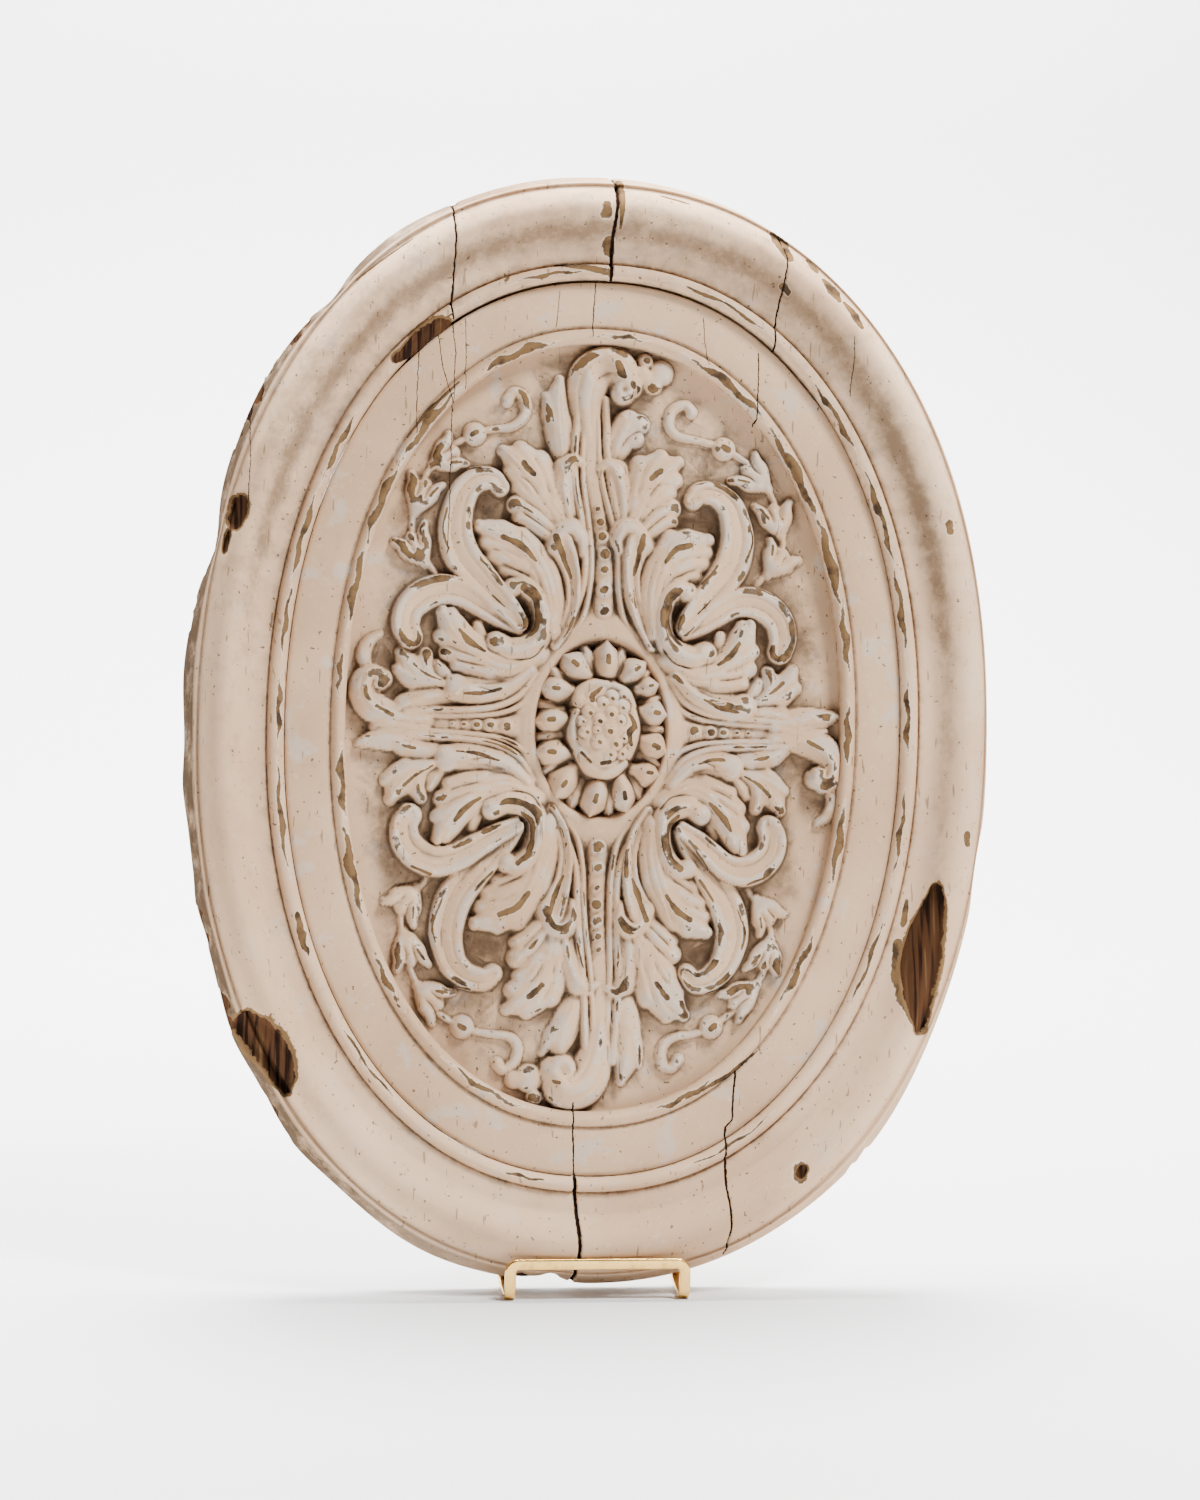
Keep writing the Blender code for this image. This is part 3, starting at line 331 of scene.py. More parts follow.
# Where the main points of the foliage sit, in mm from the middle of the flower:
# drawn place, then upper left, upper right, lower left and lower right quarter
LANDMARKS = (
    ((63, 141), (63, 146), (55, 142), (62, 152), (55, 148)),
    ((90, 118), (91, 116), (82, 118), (91, 124), (84, 122)),
    ((78, 148), (78, 147), (68, 144), (78, 149), (69, 148)),
    ((77, 91), (77, 91), (72, 92), (76, 91), (72, 93)),
    ((118, 54), (116, 50), (108, 50), (110, 56), (104, 56)),
    ((120, 61), (120, 60), (110, 60), (118, 62), (107, 65)),
    ((102, 81), (101, 80), (94, 78), (102, 82), (92, 82)),
    ((50, 60), (50, 62), (48, 62), (49, 62), (50, 62)),
    ((34, 66), (37, 66), (34, 66), (37, 65), (38, 64)),
    ((77, 121), (77, 119), (61, 114), (72, 115), (67, 119)),
    ((19, 117), (21, 121), (12, 123), (21, 122), (20, 121)),
    ((61, 166), (63, 165), (41, 162), (50, 168), (55, 171)),
    ((47, 134), (55, 134), (40, 136), (47, 140), (47, 135)),
    ((22, 160), (25, 161), (5, 160), (8, 157), (17, 157)),
    ((28, 206), (31, 209), (12, 196), (20, 197), (19, 210)),
    ((97, 70), (98, 68), (90, 66), (98, 70), (88, 72)),
    ((90, 16), (87, 21), (86, 14), (92, 19), (78, 20)),
    ((124, 44), (121, 43), (118, 38), (128, 46), (111, 46)),
    ((126, 9), (125, 7), (117, 9), (126, 9), (113, 8)),
    ((111, 105), (113, 103), (105, 104), (113, 104), (101, 106)),
    ((115, 136), (113, 138), (106, 130), (113, 134), (106, 133)),
    ((102, 160), (99, 161), (93, 156), (100, 164), (93, 158)),
    ((80, 177), (81, 176), (73, 173), (80, 181), (72, 178)),
    ((49, 193), (50, 192), (40, 190), (48, 196), (43, 193)),
    ((61, 199), (61, 197), (51, 195), (56, 203), (52, 198)),
    ((0, 60), (0, 60), (0, 60), (0, 60), (0, 60)),
    ((45, 0), (45, 0), (45, 0), (45, 0), (45, 0)),
    ((20, 66), (20, 66), (21, 70), (20, 66), (20, 66)),
    ((36, 46), (36, 46), (36, 46), (36, 46), (36, 46)),
    ((60, 22), (60, 22), (60, 20), (60, 22), (58, 20)),
)


def bending(quarter):
    """Map from the drawn quarter to one real quarter, through all the landmarks."""
    drawn = np.array([row[0] for row in LANDMARKS], float)
    real = np.array([row[quarter] for row in LANDMARKS], float)

    def kernel(p):
        r2 = ((p[:, None] - drawn[None]) ** 2).sum(2)
        return r2 * np.log(r2 + 1e-6)

    count = len(drawn)
    lin = np.c_[np.ones(count), drawn]
    system = np.block([[kernel(drawn) + 400 * np.eye(count), lin], [lin.T, np.zeros((3, 3))]])
    weight = np.linalg.solve(system, np.vstack([real, np.zeros((3, 2))]))
    return lambda p: kernel(p) @ weight[:count] + np.c_[np.ones(len(p)), p] @ weight[count:]


# Carved veins across the half width of each kind of lobe, and their depth
VEINS = {"leaf": 2.5, "soft": 1.3, "rim": 1.6}
VEIN_DEPTH = 1.25


def section(kind, x, ridge_at):
    """Height across a stroke as a share of its crest, with x from -1 to 1."""
    ax = np.clip(np.abs(x), 0, 1)
    if kind == "round":
        return np.sqrt(1 - ax**2)
    if kind == "soft":
        return np.cos(ax * np.pi / 2) ** 1.1
    if kind == "flat":
        return 1 - ax**4
    if kind == "rim":
        lean = (x + 1) / 2
        shape = 0.62 + 0.38 * smooth((lean - 0.3) / 0.6) - 0.16 * bell(lean, 0.42, 0.2)
        return shape * np.sqrt(1 - (np.clip((ax - 0.78) / 0.22, 0, 1)) ** 2.2)
    slope = x - ridge_at
    outward = np.abs(slope) / np.where(slope > 0, 1 - ridge_at, 1 + ridge_at)
    return 1 - np.clip(outward, 0, 1) ** 1.7


class Relief:
    """Heights, marks of wear and painted shade at the points (u, v), laid down stroke by stroke."""

    def __init__(self, u, v):
        self.u = u
        self.v = v
        self.h = np.zeros_like(u)
        self.worn = np.zeros_like(u)
        # painted shade in pits and along some grooves
        self.dark = np.zeros_like(u)
        self.flip = (1, 1)
        self.bend = None
        self.group = None
        self.out = None
        self.lip = None
        self.blend = 0.0

    def place(self, points):
        """Drawn points bent and mirrored to where they are in the real quarter."""
        p = np.array(points, float)
        if self.bend is not None:
            p = self.bend(p)
        return p * np.array(self.flip)

    def measure(self, path, reach):
        """Nearby points: which, how far from the path, on which side, how far along."""
        lo = path.min(0) - reach
        hi = path.max(0) + reach
        inside = (self.u > lo[0]) & (self.u < hi[0]) & (self.v > lo[1]) & (self.v < hi[1])
        which = np.nonzero(inside)[0]
        q = np.c_[self.u[which], self.v[which]]
        best = np.full(len(which), 1e9)
        side = np.zeros(len(which))
        place = np.zeros(len(which))
        spans = len(path) - 1
        for i in range(spans):
            start = path[i]
            step = path[i + 1] - start
            r = q - start
            t = np.clip((r @ step) / max(step @ step, 1e-9), 0, 1)
            gap = r - t[:, None] * step
            far = gap[:, 0] ** 2 + gap[:, 1] ** 2
            near = far < best
            best[near] = far[near]
            cross = step[0] * r[:, 1] - step[1] * r[:, 0]
            side[near] = np.where(cross[near] >= 0, 1.0, -1.0)
            place[near] = (i + t[near]) / spans
        return which, np.sqrt(best), side * self.flip[0] * self.flip[1], place

    def open(self, blend):
        """Starts a leaf whose lobes run into each other over the given height."""
        self.group = np.full_like(self.h, -20.0)
        self.out = np.full_like(self.h, 99.0)
        self.lip = np.zeros_like(self.h)
        self.blend = blend

    def close(self, moat=1.2):
        """Lays the leaf over what is there, with a valley cut round it."""
        self.cut_round(slice(None), self.out, self.lip, moat)
        self.h = np.maximum(self.h, self.group)
        self.group = None

    def cut_round(self, which, out, lip, moat):
        """Sinks what lies just outside a shape whose lip stands above it."""
        here = self.h[which]
        shows = smooth((lip - here + 2.5) / 3)
        ring = bell(out, 0, 1.5) * (out > 0) * shows
        self.h[which] = here - moat * ring * np.clip(here / 4 + 0.25, 0, 1)

    def stroke(self, points, half, top, kind="round", edge=0.35, moat=1.2, ridge_at=0.0, veins=None):
        """One lobe or band of foliage, with half widths, crest heights and veins along it."""
        path = through(self.place(points))
        count = len(path)
        halves = along(half, count)
        crests = along(top, count)
        which, far, side, place = self.measure(path, halves.max() + 6)
        grid = np.linspace(0, 1, count)
        w = np.interp(place, grid, halves)
        z = np.interp(place, grid, crests)
        x = side * far / w
        height = z * (edge + (1 - edge) * section(kind, x, ridge_at))
        if veins is None:
            veins = VEINS.get(kind, 0)
        if veins:
            valley = (1 - np.abs(np.sin(np.pi * veins * (x - ridge_at + 0.31)))) ** 3
            ends = smooth(place / 0.2) * smooth((1 - place) / 0.16)
            inside = 1 - np.clip(np.abs(x), 0, 1) ** 6
            height -= VEIN_DEPTH * valley * ends * inside * smooth((w - 3) / 3)
        out = np.clip(far - w, 0, None)
        height = np.where(far > w, z * edge - 3.5 * out, height)
        if self.group is not None:
            self.group[which] = blend_max(self.group[which], height, self.blend)
            nearer = out < self.out[which]
            self.lip[which] = np.where(nearer, z * edge, self.lip[which])
            self.out[which] = np.minimum(self.out[which], out)
            return
        if moat:
            self.cut_round(which, out, z * edge, moat)
        self.h[which] = np.maximum(self.h[which], height)

    def lobes(self, edge, strokes):
        """Soft lobes, each a line with its half widths and crest heights."""
        for line, half, top in strokes:
            self.stroke(line, half, top, "soft", edge)

    def ball(self, at, radius, top, edge=0.2, moat=0.8):
        """A round bead with its crest at the given height."""
        self.stroke([at, (at[0] + 0.01, at[1] + 0.01)], radius, top, "round", edge, moat)

    def bowl(self, at, radius, depth):
        """A round hollow with a soft rim."""
        middle = self.place([at, at])[0]
        far = np.hypot(self.u - middle[0], self.v - middle[1])
        self.h -= depth * smooth(1.15 - far / radius) * (self.h > 0)

    def band(self, points, half, reach):
        """Nearby points with their distance from the path and the half width there."""
        path = through(self.place(points))
        halves = along(half, len(path))
        which, far, _, place = self.measure(path, halves.max() * reach + 1.2)
        return which, far, np.interp(place, np.linspace(0, 1, len(path)), halves), place

    def pit(self, points, half, depth):
        """A gouged hollow, no deeper than 1 mm under the ground, darkened with painted shade."""
        which, far, w, _ = self.band(points, half, 1)
        cut = depth * smooth(1.0 - (far - w) / 1.2)
        here = self.h[which]
        self.h[which] = np.where(cut > 0, np.maximum(here - cut, np.minimum(here, -1.0)), here)
        self.dark[which] = np.maximum(self.dark[which], 0.45 * smooth(1.0 - (far - w) / 0.8))

    def groove(self, points, half, depth, dark=0.0):
        """A fine valley that follows the surface and fades at both ends, with painted shade along it
        when dark is given.
        """
        which, far, w, place = self.band(points, half, 2.5)
        fade = smooth(place / 0.2) * smooth((1 - place) / 0.2)
        mark = bell(far, 0, w) * fade
        target = self.h if self.group is None else self.group
        target[which] -= depth * mark * (target[which] > 1.0)
        if dark:
            self.dark[which] = np.maximum(self.dark[which], dark * mark)

    def wear(self, points, half, amount=1.0):
        """Paint rubbed through to the wood."""
        which, far, w, _ = self.band(points, half, 1.8)
        mark = amount * np.clip(1.25 - 0.75 * far / w, 0, 1)
        self.worn[which] = np.maximum(self.worn[which], mark)

    def husk(self, at, degrees):
        """Bellflower: a cup with two petals opening along the angle."""
        a = math.radians(degrees)
        ahead = np.array([math.cos(a), math.sin(a)])
        across = np.array([-math.sin(a), math.cos(a)])

        def spot(x, y):
            return tuple(np.array(at) + x * ahead + y * across)

        self.open(1.5)
        self.stroke([spot(-9, 0), spot(-2, 0), spot(5, 0)], [3, 7, 5.5], [4, 7.5, 6], edge=0.4)
        for y in (-1, 1):
            petal = [spot(-4, 2.5 * y), spot(2, 6 * y), spot(7, 7.5 * y), spot(11, 10.5 * y)]
            self.stroke(petal, [3.5, 4, 3.2, 2.0], [6, 7, 7.5, 6], edge=0.4)
        self.stroke([spot(3, 0), spot(9, 0)], [3, 2.2], [6.5, 5.5], edge=0.4)
        for y in (-1, 1):
            self.groove([spot(-2, 3 * y), spot(4, 2.5 * y), spot(9, 4 * y)], 0.7, 1.6)
        self.close(0.8)
        self.wear([spot(2, 5), spot(8, 8)], 1.1)


# Foliage of one quarter, drawn to the upper right of the flower


def husk_chain(r):
    """Thin curling stem hung with bellflowers."""
    chain = [(98, 88), (104, 96), (114, 112), (117, 124), (113, 146), (102, 163), (88, 173), (80, 177)]
    r.stroke(chain, 1.8, 3, edge=0.2)
    r.husk((112, 106), 57)
    r.husk((114, 135), 104)
    r.husk((101, 160), 145)
    curl = [(80, 178), (68, 181), (56, 183), (49, 190), (50, 200), (57, 204), (61, 199)]
    r.stroke(curl, [2, 2, 2.6, 3.2, 3.2, 2.8, 3.6], [3, 3.2, 3.8, 4.4, 4.4, 4.2, 5], edge=0.25)
    r.ball((61, 198), 3.4, 5.2)
    r.ball((80, 177), 7, 6.5)
    r.wear([(79, 178), (82, 176)], 2.2)


def leaf_beside_level_stem(r):
    """Leaf that fans out above the end of the level stem."""
    r.open(3)
    spine = [(60, 17), (80, 18), (98, 20), (111, 27), (119, 35), (124, 44)]
    r.stroke(spine, [5, 7, 9, 10, 8, 3.5], [9, 9, 9, 9, 9, 7.5], "leaf", 0.5, ridge_at=0.1)
    r.lobes(0.5, (
        ([(96, 18), (106, 25), (110, 35), (109, 42)], [6, 7, 6, 4], [8.5, 9, 8.5, 7]),
        ([(104, 22), (116, 26), (126, 33)], [6, 6, 3.5], [9, 9, 7.5]),
        ([(90, 14), (106, 14), (118, 12), (126, 9)], [6, 7, 6.5, 4.5], [8.5, 9, 9, 7.5]),
        ([(92, 22), (98, 29), (102, 35)], [4.5, 4.5, 3], [8, 8, 6.5]),
    ))
    r.groove([(84, 15), (102, 19), (118, 20)], 1.2, 2.2)
    r.groove([(88, 20), (102, 27), (106, 38)], 1.0, 1.8)
    r.close()
    r.wear([(100, 23), (110, 29), (117, 36)], [0.8, 1.3, 1.6])


def leaf_beside_stem_end(r, short):
    """Small leaf beside the rolled end of the upright stem."""
    r.open(3)
    if short:
        r.stroke([(20, 160), (24, 176), (28, 192)], [4, 8, 8], [5, 8.5, 8], "soft", 0.55)
        r.ball((34, 191), 5.5, 8, 0.55)
        r.ball((33, 180), 5, 8, 0.55)
        r.groove([(24, 170), (30, 182), (37, 186)], 0.9, 1.6, 0.5)
    else:
        blade = [(23, 158), (25, 172), (27, 186), (28, 198), (27, 208)]
        r.stroke(blade, [4, 7.6, 8.2, 6.4, 2.4], [5, 8, 9, 8.5, 7], "leaf", 0.5)
        r.stroke([(26, 176), (32, 188), (36, 200)], [4, 4.6, 1.8], [7.5, 7.5, 5.5], "soft", 0.5)
        r.groove([(20, 170), (21, 184), (22, 200)], 0.8, 1.0)
    r.close()


def leaf_beside_stem(r):
    """Large leaf beside the upright stem, with two folds of its own."""
    r.open(3)
    spine = [(19, 105), (24, 122), (33, 140), (45, 154), (54, 162), (61, 167)]
    r.stroke(spine, [7, 9, 10, 9.5, 7.5, 3], [10, 10.5, 11, 11, 10.5, 8.5], "leaf", 0.55, ridge_at=-0.1)
    r.lobes(0.55, (
        ([(26, 132), (32, 148), (37, 160)], [7, 8, 6.5], [10, 10, 8.5]),
        ([(34, 148), (43, 160), (50, 168)], [7, 7, 4.5], [10.5, 10, 8.5]),
        ([(36, 136), (45, 146), (55, 153)], [6.5, 7, 5], [10, 10, 8.5]),
        ([(32, 128), (40, 136), (49, 143)], [6, 6, 4], [9.5, 9.5, 8]),
    ))
    r.groove([(28, 134), (34, 150), (43, 165)], 1.2, 1.4)
    r.groove([(34, 136), (42, 146), (52, 150)], 1.2, 1.6)
    r.close()
    r.wear([(40, 151), (48, 158)], [2.2, 2.6])
    r.open(3)
    r.lobes(0.55, (
        ([(21, 104), (29, 115), (38, 126), (47, 133)], [6.5, 8, 8.5, 6], [10.5, 11, 11, 9.5]),
        ([(30, 112), (39, 120), (47, 125)], [5, 5.5, 4], [10, 10, 8.5]),
    ))
    r.groove([(27, 112), (37, 122), (46, 129)], 0.9, 1.4)
    r.close()
    r.open(3)
    r.lobes(0.5, (
        ([(17, 110), (20, 128), (22, 144), (22, 156)], [5, 6, 7, 6.5], [9, 10, 11, 11]),
        ([(22, 154), (18, 160), (12, 158)], [6, 5, 3], [11, 11, 9]),
    ))
    r.close()
    r.wear([(16, 150), (15, 138), (13, 126)], [0.8, 1.0, 0.6], 0.8)


def lower_leaf(r):
    """Leaf that sweeps out under the scroll, with its turned edge."""
    r.stroke([(70, 40), (75, 52), (76, 60)], [4, 4.8, 3.4], [6, 7, 5.5], edge=0.4)
    r.open(3)
    spine = [(40, 44), (54, 36), (68, 37), (80, 44), (90, 55), (97, 69)]
    r.stroke(spine, [8, 10, 11, 10, 8, 3.5], [13, 13, 12.5, 12, 11.5, 9.5], "leaf", 0.58)
    r.lobes(0.58, (
        ([(74, 36), (85, 38), (95, 43)], [7, 7, 5], [11.5, 11, 9]),
        ([(80, 42), (90, 48), (98, 54)], [7, 6.5, 4.5], [11.5, 11, 9]),
        ([(70, 30), (80, 31), (90, 33)], [6, 6, 4.5], [11, 10.5, 9]),
        ([(84, 52), (90, 62), (92, 68)], [6, 5.5, 4], [11, 10.5, 9]),
    ))
    r.groove([(70, 33), (82, 35), (93, 38)], 1.2, 1.6)
    r.groove([(76, 38), (88, 43), (98, 49)], 1.2, 1.4)
    r.close()
    r.wear([(72, 42), (82, 49), (88, 57)], [1.2, 2.4, 1.4])
    r.ball((97, 70), 3.2, 10)
    r.open(3)
    fold = [(44, 34), (56, 24), (69, 19), (82, 17), (92, 17)]
    r.stroke(fold, [5, 6, 7, 8, 7], [13, 13, 13, 13.5, 12.5], "soft", 0.55)
    r.ball((91, 18), 8, 12.5, 0.5)
    r.groove([(56, 27), (70, 23), (84, 22)], 0.9, 1.5)
    r.close()
    r.groove([(66, 18.5), (72, 19), (79, 19.5)], 0.9, 2.2, 0.5)
    r.wear([(62, 21), (74, 16), (86, 14)], [1.0, 1.8, 1.2])


def upper_leaf(r):
    """Leaf that sweeps up beside the scroll."""
    r.open(3.5)
    spine = [(31, 58), (32, 74), (37, 90), (46, 103), (57, 112), (67, 117), (76, 121)]
    tops = [13.5, 13.5, 13.5, 13.5, 13, 12.5, 10.5]
    r.stroke(spine, [7, 10, 11.5, 11.5, 9.5, 7, 3.5], tops, "leaf", 0.6, ridge_at=0.1)
    r.lobes(0.6, (
        ([(38, 92), (42, 104), (46, 113)], [8, 8, 6.5], [13, 12.5, 11]),
        ([(46, 102), (54, 112), (60, 118)], [8, 7, 5], [13, 12.5, 11]),
        ([(50, 98), (61, 106), (71, 111)], [7.5, 7, 5], [12.5, 12, 10]),
        ([(45, 91), (56, 98), (67, 102)], [7, 7, 4.8], [12, 11.5, 9.5]),
        ([(42, 84), (51, 89), (60, 93)], [6.5, 6.5, 4.8], [11.5, 11, 9]),
        ([(40, 78), (48, 82), (55, 85)], [5.5, 5.5, 4], [11, 10.5, 8.5]),
    ))
    r.groove([(46, 98), (57, 104), (69, 107)], 1.2, 1.2)
    r.groove([(42, 88), (52, 93), (64, 98)], 1.2, 1.5)
    r.groove([(41, 80), (49, 85), (58, 89)], 1.1, 1.5)
    r.groove([(36, 92), (41, 104), (48, 117)], 1.2, 1.0)
    r.close(1.6)
    r.ball((76, 121), 3.6, 11.5)
    r.wear([(40, 98), (48, 107), (60, 113)], [1.6, 2.6, 2.2])


def stalk(r):
    """Lip that rises from the flower and turns over as a hood."""
    r.open(2.5)
    lip = [(29, 50), (22, 62), (18.5, 75), (18.5, 88), (21, 98), (25, 107)]
    r.stroke(lip, [3.2, 3.8, 4.2, 5, 6.5, 8], [12, 12, 12, 12.5, 13, 14], "rim", 0.45)
    hood = [(28, 106), (25, 114), (19, 116), (13.5, 110), (13, 102)]
    r.stroke(hood, [7, 7.5, 7.5, 5.5, 3.2], [14, 15, 15, 13.5, 10], "soft", 0.5)
    r.close(1.4)
    r.wear([(28, 112), (23, 98), (19, 88)], [2.2, 2.2, 1.2])
    r.wear([(18, 84), (18.5, 72), (22, 60)], 0.7, 0.9)


# Middle lines of the two scrolls
TALL = (
    (50, 60), (57, 69), (66, 79), (77, 91), (86, 104), (90, 118),
    (90, 131), (86, 142), (78, 148), (69, 147), (63, 141),
)
SHORT = ((50, 58), (60, 63), (72, 71), (84, 79), (96, 82), (108, 79), (117, 71), (120, 61), (118, 54))


def tendrils(r, upper):
    """Tall and short scroll; the tall one lies on top in the upper half."""
    tall_half = [5, 7, 8.5, 10, 10.5, 10, 9, 8, 7, 6.3, 5.2]
    short_half = [5, 6, 7, 8, 9, 9, 8.5, 8, 7]
    tall_top = [13, 12.5, 12, 11.5, 11, 10.5, 10, 10, 10, 10, 9.5]
    short_top = [11, 10, 9.5, 9.5, 10, 10, 10, 10, 10]
    if upper:
        r.stroke(SHORT, short_half, short_top, "rim", 0.5)
        r.stroke(TALL, tall_half, tall_top, "rim", 0.5)
    else:
        r.stroke(TALL, tall_half, [10, 9.5, 9.5, 10, 10, 10, 10, 10, 10, 10, 9.5], "rim", 0.5)
        r.stroke(SHORT, short_half, [14, 13, 12.5, 12, 11.5, 11, 10.5, 10.5, 10.5], "rim", 0.5)
    r.wear([(93, 104), (98, 118), (97, 130)], 1.0)
    r.wear([(76, 101), (70, 94), (64, 88)], 1.2)
    r.wear([(100, 90), (112, 86)], 1.1)
    r.wear([(84, 155), (76, 156)], 1.0)
    r.wear([(60, 70), (68, 78), (72, 84)], 0.9, 0.8)


def collar(r):
    """Rolled collar that both scrolls grow from, with a pit behind it."""
    r.pit([(43, 74), (41, 66), (43, 58), (47, 54)], [0.9, 1.7, 1.7, 0.9], 12)
    r.open(2.5)
    roll = [(54, 83), (47, 84), (39, 78), (35, 67), (37, 55), (45, 47), (56, 44), (65, 48)]
    tops = [13, 15.5, 16.5, 17, 17, 16.5, 15.5, 13.5]
    r.stroke(roll, [5.5, 6.5, 6, 5.4, 6, 7, 7.5, 6.5], tops, "soft", 0.6)
    r.ball((54, 82), 6, 13.5, 0.5)
    r.ball((65, 48), 6.5, 14, 0.5)
    r.groove([(33, 52), (44, 41), (58, 37), (68, 40)], 1.1, 2.0)
    r.close(1.6)
    r.wear([(48, 82), (41, 76), (39, 66), (41, 57), (48, 51)], [2.6, 2.4, 1.6, 2.0, 1.4])
    r.groove([(33, 52), (43, 41), (58, 38)], 0.7, 1.0, 0.7)


# Stems, each drawn upwards or to the right of the flower

# Rolled ends of the upright stems: line; leaflets: middle, radius and height of each lobe
TOP_ROLL = ((-10, 168), (-13, 186), (-14, 203), (-9, 215), (3, 219), (11, 210))
TOP_LEAFLET = ((22, 224, 4.5, 8), (32, 217.5, 7.2, 8), (27, 211, 6, 8), (20, 215, 6, 9))
FOOT_ROLL = ((-4, 165), (-3.5, 186), (0, 202), (6, 213), (16, 216), (22, 207))
FOOT_LEAFLET = ((38, 211, 8, 7.5), (34.5, 222, 4.5, 7), (47, 212, 5, 6))


def upright_stem(r, lean, roll, eye, eye_radius, leaflet):
    """Stem with pearls that bends by lean and rolls over at its end."""
    def axis(v):
        return lean * float(smooth((v - 100) / 65))

    outer = [(29, 54), (20, 66), (13.5, 84), (12, 104), (11.5, 126)]
    outer += [(11, 146), (10, 166), (9, 186), (8, 200)]
    inner = [(22, 54), (13, 66), (9, 84), (8, 104), (7.2, 126), (6, 146), (5, 166), (4, 186), (3, 198)]
    for side in (-1, 1):
        for line, half, top in ((outer, 2.6, 9), (inner, 2.0, 7.8)):
            ridge = [(side * u + axis(v), v) for u, v in line]
            tops = [top, top, top, top - 0.5, top - 0.5, top - 1, top - 1]
            r.stroke(ridge, half, tops, edge=0.4, moat=0.5)
    middle = [(axis(v), v) for v in (54, 70, 100, 130, 160, 195)]
    r.stroke(middle, [14, 7, 5.5, 5, 5, 5], [7.0, 5.8, 5.5, 5.5, 6, 6.5], "flat", 0.5, moat=0)
    for v, radius in ((71, 5.4), (84, 5), (96, 3.2), (106, 4.2), (116, 4), (125, 3), (133, 2.2)):
        r.ball((axis(v), v), radius, 8.6, 0.5, 0.6)
        r.wear([(axis(v) - 0.5, v - 0.5), (axis(v) + 0.5, v + 0.5)], radius * 0.55)
    r.open(3)
    r.stroke(roll, [5, 8, 11, 12.5, 12, 9], [5, 9, 12.5, 15, 16, 15.5], "soft", 0.5)
    r.close(1.8)
    r.ball(eye, eye_radius + 2.8, 16.5, 0.6, 1.0)
    r.bowl(eye, eye_radius, 3.5)
    r.open(2.5)
    for u, v, radius, top in leaflet:
        r.ball((u, v), radius, top, 0.5)
    r.close()


def level_stem(r):
    """Stem with pearls towards the side, with a curled end."""
    outer = [(40, 32), (50, 18.5), (64, 11.5), (82, 9), (102, 8), (118, 6.5)]
    inner = [(38, 26), (48, 13.5), (62, 7.5), (82, 5.4), (102, 4.6), (118, 3.6)]
    for up in (-1, 1):
        for line, half, top in ((outer, 2.4, 9), (inner, 1.8, 7.6)):
            r.stroke([(u, up * v) for u, v in line], half, top, edge=0.4, moat=0.5)
    middle = [(42, 0), (55, 0), (80, 0), (110, 0), (128, -1)]
    r.stroke(middle, [13, 7, 4.5, 4.5, 5], [7.0, 6, 5.5, 5.5, 6], "flat", 0.5, moat=0)
    for u, radius in ((57, 4.8), (67, 4.4), (75, 3.4), (83, 2), (90, 1.6)):
        r.ball((u, 0), radius, 8.4, 0.5, 0.6)
        r.wear([(u - 0.5, 0), (u + 0.5, 0)], radius * 0.55)
    tendril = [(134, 53), (140, 49), (144, 41), (142, 33)]
    r.stroke(tendril, [1.8, 3.4, 4.4, 3.6], [4.5, 5.5, 6.5, 6], edge=0.3)
    r.open(3)
    r.stroke([(106, -7), (120, -9), (134, -10), (146, -13)], [5, 7, 6, 1.8], [8, 9, 8.5, 6], "leaf", 0.5)
    r.stroke([(106, -4), (118, -2), (130, -1), (138, -3)], [5, 6, 5, 1.6], [8, 8.5, 8, 6], "soft", 0.5)
    r.close()
    r.open(3)
    curl = [(106, 3), (122, 3), (136, 8), (143, 18), (140, 27), (132, 26)]
    r.stroke(curl, [6, 7.5, 8.5, 8.5, 7, 5], [8.5, 9.5, 11, 12, 12.5, 12.5], "soft", 0.5)
    r.close(1.5)
    r.ball((134, 24), 4.6, 12.5, 0.6, 1.2)
    r.wear([(126, 4), (136, 9)], 1.6)


def carve(r):
    """All the foliage, from the outermost leaves in to the collars, then the stems."""
    for quarter, (side, end) in enumerate(((-1, 1), (1, 1), (-1, -1), (1, -1)), start=1):
        r.flip = (side, end)
        r.bend = bending(quarter)
        husk_chain(r)
        leaf_beside_level_stem(r)
        leaf_beside_stem_end(r, (side, end) == (1, 1))
        leaf_beside_stem(r)
        lower_leaf(r)
        upper_leaf(r)
        stalk(r)
        tendrils(r, end > 0)
        collar(r)
    r.bend = None
    r.flip = (1, 1)
    upright_stem(r, -10, TOP_ROLL, (8.5, 205), 3.8, TOP_LEAFLET)
    r.bowl((-5, 216), 9.5, 5.0)
    r.wear([(4, 221), (6, 216), (8, 213)], [2.4, 3.6, 2.2])
    r.wear([(13.5, 209), (14, 207)], 2.0)
    r.wear([(22, 224), (23, 224)], 2.5)
    r.flip = (-1, -1)
    upright_stem(r, -4, FOOT_ROLL, (18.5, 205), 5.0, FOOT_LEAFLET)
    r.wear([(21, 213), (25, 212)], 1.6)
    for side in (-1, 1):
        r.flip = (side, -side)
        level_stem(r)
    r.flip = (1, 1)
    # the ground swells up to the pocket, with a bank round its rim
    rim = np.hypot(r.u / POCKET[0], r.v / POCKET[1])
    cushion = 8.0 * smooth((1.5 - rim) / 0.42)
    bank = np.clip(1 - (np.abs(rim - 1.04) / 0.05) ** 2, 0, 1)
    r.h = np.clip(np.maximum(r.h, cushion), -1.5, None) + 0.7 * np.sqrt(bank)


# Marks of wear and of painted shade that a chart holds beside the heights
CHART_MARKS = ("worn", "dark", "cavity", "grime", "crest")


